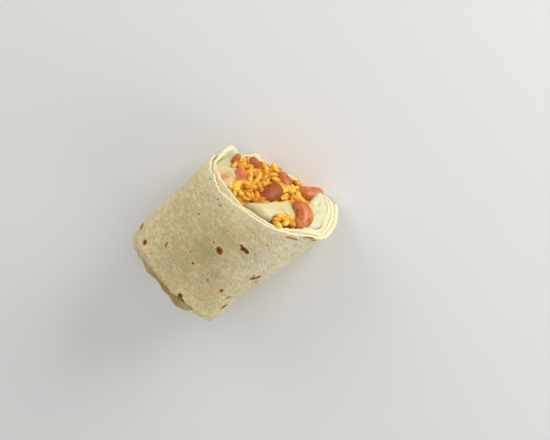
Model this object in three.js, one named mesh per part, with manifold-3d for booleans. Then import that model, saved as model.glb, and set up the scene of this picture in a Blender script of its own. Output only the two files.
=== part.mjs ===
// Half of a rolled burrito, lying on its seam side with the slanted cut at +X.
// A flour tortilla is wound a little over two turns round a filling of spiced rice,
// pinto beans and melted cheese. The -X end is tucked shut, and the +X end is cut
// across on a slant, so that the filling shows and mounds out of the roll.
// Millimetres, +Z up. In the code x runs along the roll, y across it, and z up from
// the roll's own axis. The group at the end moves all of it onto the floor.

import * as THREE from "three";
import { mergeVertices } from "three/addons/utils/BufferGeometryUtils.js";
import Module from "manifold-3d";

const wasm = await Module();
wasm.setup();

// Driving dimensions of the roll
const HALF_WIDTH = 34.3;
const HALF_HEIGHT = 26.5;
const TOP_ROUNDNESS = 2.35; // power of the superellipse above the axis
const BOTTOM_ROUNDNESS = 2.9; // squarer below, where the roll has settled
const FLOOR = -23.5; // the height of the table under the roll
const ARCH = 0.7; // how far the underside lifts between the four low places it rests on
const REST_MIDDLE_X = 5;
const REST_HALF_LENGTH = 29;
const REST_HALF_WIDTH = 10;
const TAPER = 0.0012; // growth in width for each mm towards the cut
const TUCK_PINCH = 1.7; // how far the -Y side draws in towards the tucked end
const TUCK_SWELL = 1.3; // how far the +Y side widens there
const END_X = -35.5; // the edge of the outer layer at the tucked end
const CUT_X = 37.5; // where the cut crosses the roll's axis
const CUT_SLANT_Y = -0.326; // how far the cut moves in x for each mm of y
const CUT_SLANT_Z = -0.285; // and for each mm of z

// The rolled sheet
const SHEET = 1.7;
const LAYER_GAP = 0.35;
const PITCH = SHEET + LAYER_GAP;
const TURNS = 2.2;
const SEAM = THREE.MathUtils.degToRad(218);
const STEPS_PER_TURN = 44;
const STEPS_ALONG = 9;
const CLEARANCE = 0.35; // left between neighbouring solids
const CORE_CLEARANCE = 0.75; // more round the core, whose flats cut across the sheet's curve

// The tucked end
const TUCK_INNER_X = END_X + 5;
const TUCK_OUTER_X = END_X + 1.2;
const TUCK_BULGE = 4.4;
const FLAP = 1.7; // the thickness of the flap folded down over the other

// The filling
const MOUND = 4.2; // how far it stands out of the cut at its middle
const CORE_BACK_X = TUCK_INNER_X + CLEARANCE;
const GRAIN = { length: 8.4, width: 3.5 };
const GRAIN_SPOTS = 110;

// Small helpers

const TURN = 2 * Math.PI;
const clamp01 = (t) => Math.min(1, Math.max(0, t));
const smooth = (t) => clamp01(t) ** 2 * (3 - 2 * clamp01(t));
const bell = (d, width) => Math.exp(-((d / width) ** 2));

// The difference of two angles, from -pi to pi.
function turnedFrom(angle, centre) {
  return THREE.MathUtils.euclideanModulo(angle - centre + Math.PI, TURN) - Math.PI;
}

// A bell round one direction of the section, both given in degrees.
function facing(angle, centreDeg, widthDeg) {
  const degrees = THREE.MathUtils.radToDeg(turnedFrom(angle, THREE.MathUtils.degToRad(centreDeg)));
  return bell(degrees, widthDeg);
}

// A seeded random source, so that the grains fall alike on every run.
function randomSource(seed) {
  let state = seed;
  return () => {
    state = (state + 0x6d2b79f5) | 0;
    let t = Math.imul(state ^ (state >>> 15), 1 | state);
    t = (t + Math.imul(t ^ (t >>> 7), 61 | t)) ^ t;
    return ((t ^ (t >>> 14)) >>> 0) / 4294967296;
  };
}

// Closed meshes to solids and back

function toSolid(geometry) {
  const bare = new THREE.BufferGeometry().setIndex(geometry.index);
  bare.setAttribute("position", geometry.getAttribute("position"));
  const merged = mergeVertices(bare, 1e-4);
  return new wasm.Manifold(
    new wasm.Mesh({
      numProp: 3,
      vertProperties: new Float32Array(merged.attributes.position.array),
      triVerts: new Uint32Array(merged.index.array),
    }),
  );
}

function toGeometry(solid) {
  const { numProp, numVert, vertProperties, triVerts } = solid.getMesh();
  const positions = new Float32Array(numVert * 3);
  for (let i = 0; i < numVert; i++) {
    positions.set(vertProperties.subarray(i * numProp, i * numProp + 3), i * 3);
  }
  const geometry = new THREE.BufferGeometry();
  geometry.setAttribute("position", new THREE.BufferAttribute(positions, 3));
  geometry.setIndex(new THREE.BufferAttribute(new Uint32Array(triVerts), 1));
  geometry.computeVertexNormals();
  return geometry;
}

// The largest separate body of a solid, without the scraps.
function largestBody(solid) {
  return solid.decompose().reduce((a, b) => (b.volume() > a.volume() ? b : a));
}

// Skins a stack of closed rings, each an array of [x, y, z], and closes both ends
// with a fan to its centre.
function ringStack(rings) {
  const around = rings[0].length;
  const positions = rings.flat(2);
  const index = [];
  for (let r = 0; r + 1 < rings.length; r++) {
    for (let i = 0; i < around; i++) {
      const a = r * around + i;
      const b = r * around + ((i + 1) % around);
      index.push(a, b, a + around, b, b + around, a + around);
    }
  }
  for (const end of [0, rings.length - 1]) {
    const ring = rings[end];
    const centre = positions.length / 3;
    for (const axis of [0, 1, 2]) {
      positions.push(ring.reduce((sum, p) => sum + p[axis], 0) / around);
    }
    for (let i = 0; i < around; i++) {
      const a = end * around + i;
      const b = end * around + ((i + 1) % around);
      index.push(...(end === 0 ? [b, a, centre] : [a, b, centre]));
    }
  }
  const geometry = new THREE.BufferGeometry();
  geometry.setAttribute("position", new THREE.Float32BufferAttribute(positions, 3));
  geometry.setIndex(index);
  return geometry;
}

// The roll's section: a squarish oval, a little lumpy, at each place along the roll

function sectionPoint(angle, x) {
  const sharp = 0.8 * facing(angle, 172, 32) + 0.5 * facing(angle, 0, 28);
  const shoulder = 1.2 * (1 - sharp) * smooth((END_X + 6 - x) / 7) ** 2;
  const halfWidth = HALF_WIDTH * (1 + TAPER * x) - shoulder;
  const halfHeight = HALF_HEIGHT - shoulder;
  const c = Math.cos(angle);
  const s = Math.sin(angle);
  const power = TOP_ROUNDNESS + (BOTTOM_ROUNDNESS - TOP_ROUNDNESS) * smooth((0.2 - s) / 1.2);
  const waves =
    0.5 * Math.sin(2 * angle + 0.015 * x + 1.2) +
    0.35 * Math.sin(3 * angle - 0.05 * x + 2.1) +
    0.25 * Math.sin(5 * angle + 0.17 * x + 4);
  const lumps = waves * smooth(s + 0.95);
  const oval = (Math.abs(c / halfWidth) ** power + Math.abs(s / halfHeight) ** power) ** (-1 / power);
  const pinch = smooth((10 - x) / 24) * (1 - 0.55 * smooth((-22 - x) / 12)) * facing(angle, 178, 30);
  const swell = smooth((-10 - x) / 20) * facing(angle, 5, 28);
  const radius = oval + lumps - TUCK_PINCH * pinch + TUCK_SWELL * swell;
  return [radius * c, radius * s];
}

// A point the given depth inside the section's outline, measured along its normal.
function insetPoint(angle, x, depth) {
  const step = 0.02;
  const [y0, z0] = sectionPoint(angle - step, x);
  const [y1, z1] = sectionPoint(angle + step, x);
  const [y, z] = sectionPoint(angle, x);
  const length = Math.hypot(y1 - y0, z1 - z0);
  return [y - (depth * (z1 - z0)) / length, z + (depth * (y1 - y0)) / length];
}

// Turns wound inwards from the seam to the first layer met in this direction.
function turnsAt(angle) {
  return THREE.MathUtils.euclideanModulo(SEAM - angle, TURN) / TURN;
}

// The x of the cut at a place in the section.
function cutX(y, z) {
  return CUT_X + CUT_SLANT_Y * y + CUT_SLANT_Z * z;
}

// Near the cut each layer parts a little from the one over it, most on the +Y shoulder.
function parting(angle, fromCut) {
  return Math.exp(-Math.max(0, fromCut) / 5) * (0.2 + 0.4 * facing(angle, 25, 28));
}

// The depth of a layer's outer face, by the turns wound inwards from the seam.
function layerDepth(turns, angle, fromCut) {
  const layersOver = smooth((turns - 0.9) / 0.2) + smooth((turns - 1.9) / 0.2);
  return turns * PITCH + layersOver * parting(angle, fromCut);
}

// The settled underside: almost flat, and lowest at four places, so that it stands firm.
function undersideAt(x, y) {
  const along = Math.min(2, ((x - REST_MIDDLE_X) / REST_HALF_LENGTH) ** 2);
  const across = Math.min(2, (y / REST_HALF_WIDTH) ** 2);
  return FLOOR + ARCH * (0.6 * (1 - along) ** 2 + 0.4 * (1 - across) ** 2);
}

// Keeps a face at its depth above the settled underside.
function rested(x, y, z, depth, angle) {
  return Math.max(z, undersideAt(x, y) + Math.max(0, depth - PITCH * turnsAt(angle)));
}

// The tortilla

// How far the edge of a layer stands past the plane of the cut, or short of it. The inner
// layer has a round lobe at 352 degrees, where the outer one dips.
function rimStep(turns, angle) {
  const outerLip = 2.2 * facing(angle, 33, 14) + 1.4 * facing(angle, 12, 16) - 3.2 * facing(angle, 345, 14);
  const lobe = 6.3 * facing(angle, 352, 14);
  const innerLip = 3.6 * facing(angle, 36, 22) + 0.8 * facing(angle, 60, 14) + lobe;
  const leftLip = (turns < 1 ? outerLip : innerLip) + 0.4 * facing(angle, 60, 14);
  const rightLip = (turns < 1 ? 3 : 4.4) * facing(angle, 150, 18) + 1.8 * facing(angle, 222, 14);
  const backDip = -4.6 * facing(angle, 317, 15) - 3 * facing(angle, 288, 13) - 1.5 * facing(angle, 254, 8);
  const ripple = 0.15 * Math.sin(9 * angle + 3 * turns) + 0.1 * Math.sin(17 * angle + 5 * turns);
  return leftLip + rightLip + backDip + ripple;
}

// How far the outer layer draws back over the tucked end, between 45 and 140 degrees.
function outerRecess(angle) {
  const degrees = THREE.MathUtils.euclideanModulo(THREE.MathUtils.radToDeg(angle), 360);
  return 2.1 * smooth((degrees - 45) / 12) * smooth((142 - degrees) / 10);
}

// How far the folded layer stands out from under it.
function foldReach(angle) {
  const degrees = THREE.MathUtils.euclideanModulo(THREE.MathUtils.radToDeg(angle), 360);
  const bells = 1.7 * facing(angle, 65, 9) + 1.7 * facing(angle, 99, 17) + 3.6 * facing(angle, 130, 13);
  return bells * smooth((141 - degrees) / 6);
}

// A point on the sheet. turns counts inwards from the seam, along runs from 0 at the
// tucked end to 1 at the cut, and under is 0 on the outer face and 1 on the inner.
function sheetPoint(turns, along, under) {
  const angle = SEAM - TURN * turns;
  const inner = smooth((turns - 0.85) / 0.3);
  const [yFlat, zFlat] = insetPoint(angle, 0, PITCH * turns);
  const recess = turns < 1 ? outerRecess(angle) : 0;
  const corner = 1.8 * facing(angle, 168, 15);
  const startX = END_X - 0.075 * yFlat - corner + recess - (0.6 + foldReach(angle)) * inner;
  const endX = cutX(yFlat, zFlat) + rimStep(turns, angle);
  const x = startX + (endX - startX) * along;
  const curlIn = 1.9 * inner * clamp01(1 - (x - startX) / 2.4) ** 2;
  const flare = 0.6 * facing(angle, 345, 20) * Math.exp(-(endX - x) / 6);
  const depth = layerDepth(turns, angle, endX - x) + SHEET * under + curlIn - flare;
  const [y, z] = insetPoint(angle, x, depth);
  return [x, y, rested(x, y, z, depth, angle)];
}

// The sheet as a band wound inwards: rings run out along its outer face and back
// along its inner one, at steps that are closer at both ends of the roll.
function rolledSheet() {
  const steps = Math.round(TURNS * STEPS_PER_TURN);
  const rings = [];
  for (let k = 0; k <= STEPS_ALONG; k++) {
    const t = k / STEPS_ALONG;
    const along = t - 0.1 * Math.sin(TURN * t);
    const ring = [];
    for (let i = steps; i >= 0; i--) ring.push(sheetPoint((TURNS * i) / steps, along, 0));
    for (let i = 0; i <= steps; i++) ring.push(sheetPoint((TURNS * i) / steps, along, 1));
    rings.push(ring);
  }
  return bandStack(rings);
}

// Skins rings that double back on themselves, and closes each end between the
// ring's two halves instead of round one centre.
function bandStack(rings) {
  const around = rings[0].length;
  const half = around / 2;
  const positions = rings.flat(2);
  const index = [];
  for (let r = 0; r + 1 < rings.length; r++) {
    for (let i = 0; i < around; i++) {
      const a = r * around + i;
      const b = r * around + ((i + 1) % around);
      index.push(a, b, a + around, b, b + around, a + around);
    }
  }
  const last = (rings.length - 1) * around;
  for (let i = 0; i + 1 < half; i++) {
    const j = around - 1 - i;
    index.push(i + 1, i, j, i + 1, j, j - 1);
    index.push(last + i, last + i + 1, last + j, last + i + 1, last + j - 1, last + j);
  }
  const geometry = new THREE.BufferGeometry();
  geometry.setAttribute("position", new THREE.Float32BufferAttribute(positions, 3));
  geometry.setIndex(index);
  return geometry;
}

// The outer face of the tucked end: a low dome, hollow where each side pleat opens.
function tuckX(y, z, share) {
  const dome = -TUCK_BULGE * (1 - share ** 4.5);
  const widePocket = 6.5 * bell(y + 24 - 0.3 * (z - 8), 5) * bell(z - 7, 8);
  const narrowPocket = 3.4 * bell(y - 24 + 0.3 * (z - 8), 3) * bell(z - 6, 7);
  const pleat = -0.9 * bell(z + 12 - 0.3 * y, 2.4) * smooth((20 - Math.abs(y)) / 8);
  const fold = -(1 + foldReach(Math.atan2(z, y))) * share ** 3;
  return Math.min(TUCK_OUTER_X + dome + widePocket + narrowPocket + pleat + fold, TUCK_INNER_X - 1.4);
}

// The dome as a solid, its outer face moved out of the roll by the thickness of a flap.
function tuckDome(outward) {
  const around = 40;
  const shares = [0.2, 0.42, 0.62, 0.8, 0.92, 1];
  const edgeDepth = (angle) => {
    const turns = turnsAt(angle);
    return PITCH * (1 + turns - smooth((turns - 0.86) / 0.14)) + SHEET * 0.75 + 1.4;
  };
  const ringAt = (share, xAt) =>
    Array.from({ length: around }, (_, i) => {
      const angle = (TURN * i) / around;
      const [y, z] = insetPoint(angle, END_X, edgeDepth(angle)).map((v) => v * share);
      return [xAt(y, z, share), y, z];
    });
  const face = shares.map((share) => ringAt(share, (y, z) => tuckX(y, z, share) - outward));
  return toSolid(ringStack([...face, ringAt(1, () => TUCK_INNER_X)]));
}

// The upper flap hangs over the lower one down to this edge, lowest on the +Y side.
function flapEdge(y) {
  return -3 - 0.7 * y + 1.3 * Math.sin(0.28 * y + 0.6) + 0.5 * Math.sin(0.7 * y);
}

// The lower flap, with the upper one laid over it along a slanting edge.
function tuck() {
  const edge = Array.from({ length: 23 }, (_, i) => 44 - 4 * i).reverse();
  const over = [...edge.map((y) => [y, flapEdge(y)]), [44, 60], [-44, 60]];
  const above = toSolid(ringStack([END_X - 20, 0].map((x) => over.map(([y, z]) => [x, y, z]))));
  return tuckDome(0).add(tuckDome(FLAP).intersect(above));
}

function tortilla() {
  return largestBody(toSolid(rolledSheet()).add(tuck()));
}

// The filling's core

// The depth of the core's skin: just inside the innermost layer, with a ramp over
// the step where the sheet begins.
function coreDepth(angle, fromCut) {
  const turns = turnsAt(angle);
  const spare = TURNS - 2;
  const layers = turns + 1 + smooth((spare + 0.12 - turns) / 0.08);
  return layerDepth(layers, angle, fromCut) + SHEET + CORE_CLEARANCE;
}

// How far the filling stands out of the cut: a mound, a little lower at the back,
// with a hollow against the +Y wall.
function moundHeight(y, z, share) {
  const dome = MOUND * (1 - share ** 4) * (0.82 - 0.45 * smooth((-z - 6) / 12));
  const hollow = -3.4 * bell(y - 26, 6) * bell(z + 2, 9);
  const lumps = 0.45 * Math.sin(0.55 * y + 0.3 * z) + 0.35 * Math.sin(0.7 * z - 0.4 * y + 1);
  return dome + hollow + lumps * (1 - share ** 6) - 0.8 * share ** 6;
}

const CORE_AROUND = 56;

// One ring round the core: share runs from 0 at the tuck to 1 just short of the cut.
function wallRing(share) {
  return Array.from({ length: CORE_AROUND }, (_, i) => {
    const angle = (TURN * i) / CORE_AROUND;
    const reach = cutX(...insetPoint(angle, 0, coreDepth(angle, 40)));
    const x = CORE_BACK_X + (reach - 3 - CORE_BACK_X) * share;
    const depth = coreDepth(angle, reach - x);
    const [y, z] = insetPoint(angle, x, depth);
    return [x, y, rested(x, y, z, depth, angle)];
  });
}

// One ring on the mound: share runs from 1 at the wall to 0 at the middle.
function faceRing(share) {
  return Array.from({ length: CORE_AROUND }, (_, i) => {
    const angle = (TURN * i) / CORE_AROUND;
    const reach = cutX(...insetPoint(angle, 0, coreDepth(angle, 40)));
    const depth = coreDepth(angle, 0);
    const [yWall, zWall] = insetPoint(angle, reach, depth);
    const y = yWall * share;
    const z = rested(reach, yWall, zWall, depth, angle) * share;
    return [cutX(y, z) + moundHeight(y, z, share), y, z];
  });
}

const coreWall = [0, 0.2, 0.4, 0.6, 0.8, 1].map(wallRing);

// The whole room inside the sheet, carried on straight past the cut, which keeps the
// cheese off the wall.
function roomInside() {
  const last = coreWall.at(-1).map(([x, y, z]) => [x + 16, y, z]);
  return toSolid(ringStack([...coreWall, last]));
}

function fillingCore() {
  const face = [1, 0.9, 0.76, 0.6, 0.44, 0.28, 0.13].map(faceRing);
  return ringStack([...coreWall, ...face]);
}

// The frame of the cut face: u and v lie in it, n points out of it.
const faceN = new THREE.Vector3(1, -CUT_SLANT_Y, -CUT_SLANT_Z).normalize();
const faceU = new THREE.Vector3(CUT_SLANT_Y, 1, 0).normalize();
const faceV = new THREE.Vector3().crossVectors(faceN, faceU);

// A place given by its y and z on the cut and its height above it.
function onFace(y, z, height) {
  return new THREE.Vector3(cutX(y, z), y, z).addScaledVector(faceN, height);
}

// Turns +X to a heading in the cut face, raised out of it by lift, both in degrees,
// and the z axis to the side of it that faces outwards.
function faceTurn(heading, lift, roll = 0) {
  const h = THREE.MathUtils.degToRad(heading);
  const l = THREE.MathUtils.degToRad(lift);
  const flat = faceU.clone().multiplyScalar(Math.cos(h)).addScaledVector(faceV, Math.sin(h));
  const along = flat.clone().multiplyScalar(Math.cos(l)).addScaledVector(faceN, Math.sin(l));
  const side = new THREE.Vector3().crossVectors(faceN, along).normalize();
  const up = new THREE.Vector3().crossVectors(along, side);
  const basis = new THREE.Matrix4().makeBasis(along, side, up);
  return basis.multiply(new THREE.Matrix4().makeRotationX(THREE.MathUtils.degToRad(roll)));
}

// Beans

const BEAN = { length: 15, width: 10, thickness: 8.6, bend: 1.3 };

// Each bean by its place on the cut (y, z), the height of its middle above the cut,
// the heading and lift of its long axis, its roll about that axis, and its size.
const BEANS = [
  { y: 24.8, z: -6.6, height: 1.6, heading: 98, lift: -10, roll: 90, size: 0.66 },
  { y: 17.1, z: -12.7, height: -0.2, heading: 152, lift: -16, roll: 40, size: 0.8 },
  { y: 15.1, z: 5.0, height: 1.8, heading: 142, lift: -20, roll: 20, size: 0.94 },
  { y: 23.0, z: 9.0, height: -2.6, heading: 130, lift: -8, roll: 0, size: 0.84 },
  { y: -0.9, z: 3.2, height: 2.6, heading: -108, lift: 16, roll: 10, size: 1.08 },
  { y: -0.5, z: -14.4, height: 1.6, heading: 156, lift: -16, roll: -20, size: 0.92 },
  { y: -20.0, z: 3.6, height: 2.5, heading: -52, lift: 30, roll: 70, size: 1.1, bend: 2.4 },
  { y: -14.4, z: -13.6, height: 3.9, heading: -143, lift: 8, roll: 15, size: 1.08 },
];

// A smooth oval body, bent a little towards its scar, and grown all over by grow.
function bean({ y, z, height, heading, lift, roll, size, bend = BEAN.bend }, grow = 0) {
  const geometry = new THREE.SphereGeometry(1, 12, 9).rotateZ(Math.PI / 2);
  const position = geometry.getAttribute("position");
  for (let i = 0; i < position.count; i++) {
    const along = position.getX(i);
    const plump = 1 + 0.12 * (1 - along * along);
    position.setXYZ(
      i,
      along * ((BEAN.length / 2) * size + grow),
      position.getY(i) * plump * ((BEAN.width / 2.24) * size + grow) + bend * size * (along * along - 0.4),
      position.getZ(i) * plump * ((BEAN.thickness / 2.24) * size + grow),
    );
  }
  geometry.applyMatrix4(faceTurn(heading, lift, roll));
  return geometry.translate(...onFace(y, z, height).toArray());
}

// Melted cheese: layers that run through the roll and swell a little at the cut

// Each layer has a smooth outline through corners drawn on the cut as [y, z], a centre
// that it can be shrunk to, and a front, which is how far it stands out of the cut.
const CHEESE = {
  cheese_band: {
    corners: [
      [6.4, 23.4], [1.4, 19.0], [-1.8, 15.8], [-4.4, 12.2], [-7.0, 8.2], [-9.4, 3.6], [-11.4, -0.6],
      [-14.6, 0.6], [-16.6, 5.8], [-16.0, 10.8], [-13.6, 14.4], [-12.0, 18.0], [-9.6, 21.4], [-3.0, 23.4],
    ],
    centre: [-7.6, 12.4],
    front: 4.8,
  },
  cheese_side: {
    corners: [
      [-15.4, -6.0], [-15.8, -11.0], [-17.2, -16.6], [-21.6, -15.2], [-25.4, -10.6], [-28.2, -4.4],
      [-29.4, 2.0], [-28.6, 8.0], [-26.8, 12.6], [-25.2, 11.6], [-24.8, 5.4], [-23.0, -0.4], [-19.2, -3.4],
    ],
    centre: [-24.0, -5.2],
    front: 5.2,
  },
  cheese_left: {
    corners: [
      [18.4, 13.6], [21.0, 15.2], [25.0, 12.0], [27.6, 6.0], [28.4, 0.0], [27.8, -5.6], [25.6, -9.8],
      [22.6, -8.6], [21.4, -4.0], [21.6, 0.6], [20.0, 3.4], [17.8, 8.0],
    ],
    centre: [23.4, 6.0],
    front: 1.6,
  },
};

// The outline as a curve through the corners, with a point between each two, turning from
// +y to +z, and grown all over by grow.
function cheeseOutline({ corners }, grow) {
  const flat = corners.map(([y, z]) => new THREE.Vector3(y, z, 0));
  const curve = new THREE.CatmullRomCurve3(flat, true, "catmullrom", 0.5);
  const around = Math.round(corners.length * 1.6);
  const points = curve.getPoints(around).slice(0, around);
  if (THREE.ShapeUtils.area(points) < 0) points.reverse();
  return points.map((here, i) => {
    const before = points[(i + around - 1) % around];
    const after = points[(i + 1) % around];
    const [dy, dz] = [after.x - before.x, after.y - before.y];
    const chord = Math.hypot(dy, dz);
    return [here.x + (grow * dz) / chord, here.y - (grow * dy) / chord];
  });
}

function cheeseLayer(layer, grow = 0) {
  const outline = cheeseOutline(layer, grow);
  const { centre } = layer;
  const ringAt = (shrink, xAt) =>
    outline.map(([y, z]) => {
      const yy = centre[0] + (y - centre[0]) * shrink;
      const zz = centre[1] + (z - centre[1]) * shrink;
      return [xAt(yy, zz), yy, zz];
    });
  const back = CORE_BACK_X + 1.5 - grow;
  const rings = [ringAt(0.8, () => back), ringAt(1, () => back + 1)];
  const domes = [
    [1, 0.3],
    [0.9, 0.72],
    [0.65, 0.94],
    [0.3, 1],
  ];
  for (const [shrink, rise] of domes) {
    rings.push(ringAt(shrink, (y, z) => cutX(y, z) + (layer.front + grow) * rise - 0.8));
  }
  return ringStack(rings);
}

// Rice

// One grain: a slim, blunt body with few sides.
const GRAIN_PROFILE = [
  [0, -0.5],
  [0.4, -0.37],
  [0.5, 0],
  [0.4, 0.37],
  [0, 0.5],
].map(([radius, along]) => new THREE.Vector2(radius, along));

function grain(length, width) {
  return new THREE.LatheGeometry(GRAIN_PROFILE, 5).rotateZ(-Math.PI / 2).scale(length, width, width * 0.85);
}

// Grains spread evenly over the mound by the golden angle, each turned and tipped a
// little at random. Those that would meet a bean, the cheese or the tortilla are left out.
function riceGrains(pockets, wrap) {
  const random = randomSource(7);
  const golden = Math.PI * (3 - Math.sqrt(5));
  const grains = [];
  for (let k = 0; k < GRAIN_SPOTS; k++) {
    const share = Math.sqrt((k + 0.5) / GRAIN_SPOTS) * 0.97;
    const angle = golden * k;
    const [yRim, zRim] = insetPoint(angle, CUT_X, coreDepth(angle, 0) + 1.6);
    const y = yRim * share;
    const z = zRim * share;
    const length = GRAIN.length * (0.88 + 0.26 * random());
    const width = GRAIN.width * (0.92 + 0.18 * random());
    const pose = faceTurn(360 * random(), 50 * (random() - 0.5));
    const rise = moundHeight(y, z, share) * faceN.x + 0.5 + 0.9 * random();
    pose.setPosition(onFace(y, z, rise));
    const solid = toSolid(grain(length, width).applyMatrix4(pose));
    const grown = toSolid(grain(length + 3 * CLEARANCE, width + 3 * CLEARANCE).applyMatrix4(pose));
    const free = solid.intersect(pockets).isEmpty() && grown.intersect(wrap).isEmpty();
    if (free) grains.push(solid);
  }
  return grains;
}

function riceFilling(wrap, beanShapes, cheeseShapes) {
  const pockets = wasm.Manifold.union([...beanShapes, ...cheeseShapes].map(toSolid));
  const core = toSolid(fillingCore()).subtract(pockets);
  const grains = riceGrains(pockets, wrap);
  return largestBody(wasm.Manifold.union([core, ...grains]));
}

// Materials

const finish = (color, roughness) => new THREE.MeshStandardMaterial({ color, roughness, metalness: 0 });
const MATERIALS = {
  tortilla: finish(0xe3d6b4, 0.8),
  rice: finish(0xe0a04a, 0.45),
  bean: finish(0xb8653c, 0.35),
  cheese: finish(0xefe6be, 0.3),
};

// Assembly

// From the roll's axis to the middle of the box that holds the part, on the floor.
const ROLL_PLACE = [-7.084, 0.687, -FLOOR];

function named(name, geometry, material) {
  const mesh = new THREE.Mesh(geometry, material);
  mesh.name = name;
  return mesh;
}

const burrito = new THREE.Group();
burrito.position.set(...ROLL_PLACE);

const wrap = tortilla();
burrito.add(named("tortilla", toGeometry(wrap), MATERIALS.tortilla));

BEANS.forEach((spec, i) => {
  burrito.add(named(`bean_${i + 1}`, bean(spec), MATERIALS.bean));
});

const grownBeans = BEANS.map((spec) => bean(spec, 1.2 * CLEARANCE));
const beansTogether = wasm.Manifold.union(grownBeans.map(toSolid));
const room = roomInside();
for (const [name, layer] of Object.entries(CHEESE)) {
  const body = largestBody(toSolid(cheeseLayer(layer)).intersect(room).subtract(beansTogether));
  burrito.add(named(name, toGeometry(body), MATERIALS.cheese));
}

const grownCheese = Object.values(CHEESE).map((layer) => cheeseLayer(layer, 2.4 * CLEARANCE));
const rice = riceFilling(wrap, grownBeans, grownCheese);
burrito.add(named("rice_filling", toGeometry(rice), MATERIALS.rice));

export default burrito;
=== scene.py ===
# %% [markdown]
# # Half a burrito, lying on its seam
#
# A flour tortilla is wound a little over two turns round spiced rice, pinto beans and melted
# cheese. One end is tucked shut. The other end was cut on a slant, and the filling swells out
# of it. This lesson makes each of these as a surface worked out with numpy.
#
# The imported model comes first, because every piece has to sit where its solid sits.

import bpy
import numpy as np
from mathutils import Matrix, Vector


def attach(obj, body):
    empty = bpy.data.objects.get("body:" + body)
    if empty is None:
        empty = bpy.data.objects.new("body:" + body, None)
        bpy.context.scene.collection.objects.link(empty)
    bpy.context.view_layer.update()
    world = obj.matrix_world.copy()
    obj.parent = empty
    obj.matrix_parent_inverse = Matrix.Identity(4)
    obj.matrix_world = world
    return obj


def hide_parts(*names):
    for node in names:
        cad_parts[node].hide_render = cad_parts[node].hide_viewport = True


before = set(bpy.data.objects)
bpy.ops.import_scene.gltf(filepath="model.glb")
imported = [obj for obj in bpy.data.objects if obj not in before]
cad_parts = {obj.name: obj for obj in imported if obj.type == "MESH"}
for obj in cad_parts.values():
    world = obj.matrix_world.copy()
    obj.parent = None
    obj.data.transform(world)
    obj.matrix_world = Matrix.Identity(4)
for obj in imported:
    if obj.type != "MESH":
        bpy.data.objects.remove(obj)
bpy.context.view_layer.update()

print("solids:", sorted(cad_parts))

# %% [markdown]
# ## Measures of the roll
#
# All shapes are worked out in millimetres round the roll's own axis: x runs along the roll
# towards the cut, y across it and z up. Only the last step moves them to the part's place on
# the floor and turns them into metres. Nearly all the numbers are the ones that the solids
# have. The sheet is a little thicker here, because solids need a gap between them and real
# layers touch.

# %% Name the measures
HALF_WIDTH, HALF_HEIGHT = 34.3, 26.5
TOP_ROUNDNESS, BOTTOM_ROUNDNESS = 2.35, 2.9
FLOOR = -23.5
ARCH, REST_MIDDLE_X, REST_HALF_LENGTH, REST_HALF_WIDTH = 0.7, 5, 29, 10
TAPER, TUCK_PINCH, TUCK_SWELL = 0.0012, 1.7, 1.3
END_X = -35.5
CUT_X, CUT_SLANT_Y, CUT_SLANT_Z = 37.5, -0.326, -0.285
SHEET, PITCH, TURNS = 1.85, 2.05, 2.2
SEAM = np.radians(218)
FULL_TURN = 2 * np.pi
ROLL_PLACE = np.array([-7.084, 0.687, -FLOOR])
MM_PER_METRE = 1000


def to_part(points):
    """Roll millimetres to part metres: add the place of the roll's axis, divide by 1000."""
    return (np.asarray(points) + ROLL_PLACE) / MM_PER_METRE


def smooth(t):
    """An S-shaped step from 0 to 1: t squared times (3 minus 2t), with t kept in 0 to 1."""
    t = np.clip(t, 0, 1)
    return t * t * (3 - 2 * t)


def bell(distance, width):
    """A bell curve: e to the minus (distance over width) squared."""
    return np.exp(-((distance / width) ** 2))


def facing(angle, centre_deg, width_deg):
    """A bell round one direction of the section, with the turn taken the short way round."""
    off = np.mod(angle - np.radians(centre_deg) + np.pi, FULL_TURN) - np.pi
    return bell(np.degrees(off), width_deg)


print("size of the section:", 2 * HALF_WIDTH, "by", 2 * HALF_HEIGHT, "mm before it settles")

# %% [markdown]
# ## The section
#
# A roll that lies on a table isn't round: it is a squarish oval, flatter below. A superellipse
# gives that with one power, and three slow waves keep it from looking turned on a lathe.

# %% Work out the section and its inset lines
NORMAL_STEP = 0.02  # radians to either side, for the direction of the outline


def section_point(angle, x):
    """The outline at an angle: radius = (|cos/a|^n + |sin/b|^n)^(-1/n), plus three low waves, less
    a pinch on the -Y side towards the tucked end, and plus a little on the +Y side there."""
    sharp = 0.8 * facing(angle, 172, 32) + 0.5 * facing(angle, 0, 28)
    shoulder = 1.2 * (1 - sharp) * smooth((END_X + 6 - x) / 7) ** 2
    half_width = HALF_WIDTH * (1 + TAPER * x) - shoulder
    half_height = HALF_HEIGHT - shoulder
    c, s = np.cos(angle), np.sin(angle)
    power = TOP_ROUNDNESS + (BOTTOM_ROUNDNESS - TOP_ROUNDNESS) * smooth((0.2 - s) / 1.2)
    waves = (
        0.5 * np.sin(2 * angle + 0.015 * x + 1.2)
        + 0.35 * np.sin(3 * angle - 0.05 * x + 2.1)
        + 0.25 * np.sin(5 * angle + 0.17 * x + 4)
    )
    oval = (np.abs(c / half_width) ** power + np.abs(s / half_height) ** power) ** (-1 / power)
    pinch = smooth((10 - x) / 24) * (1 - 0.55 * smooth((-22 - x) / 12)) * facing(angle, 178, 30)
    swell = smooth((-10 - x) / 20) * facing(angle, 5, 28)
    radius = oval + waves * smooth(s + 0.95) - TUCK_PINCH * pinch + TUCK_SWELL * swell
    return radius * c, radius * s


def inset_point(angle, x, depth):
    """A point inside the outline: the outline's point moved by depth against its normal."""
    y0, z0 = section_point(angle - NORMAL_STEP, x)
    y1, z1 = section_point(angle + NORMAL_STEP, x)
    y, z = section_point(angle, x)
    chord = np.hypot(y1 - y0, z1 - z0)
    return y - depth * (z1 - z0) / chord, z + depth * (y1 - y0) / chord


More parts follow.
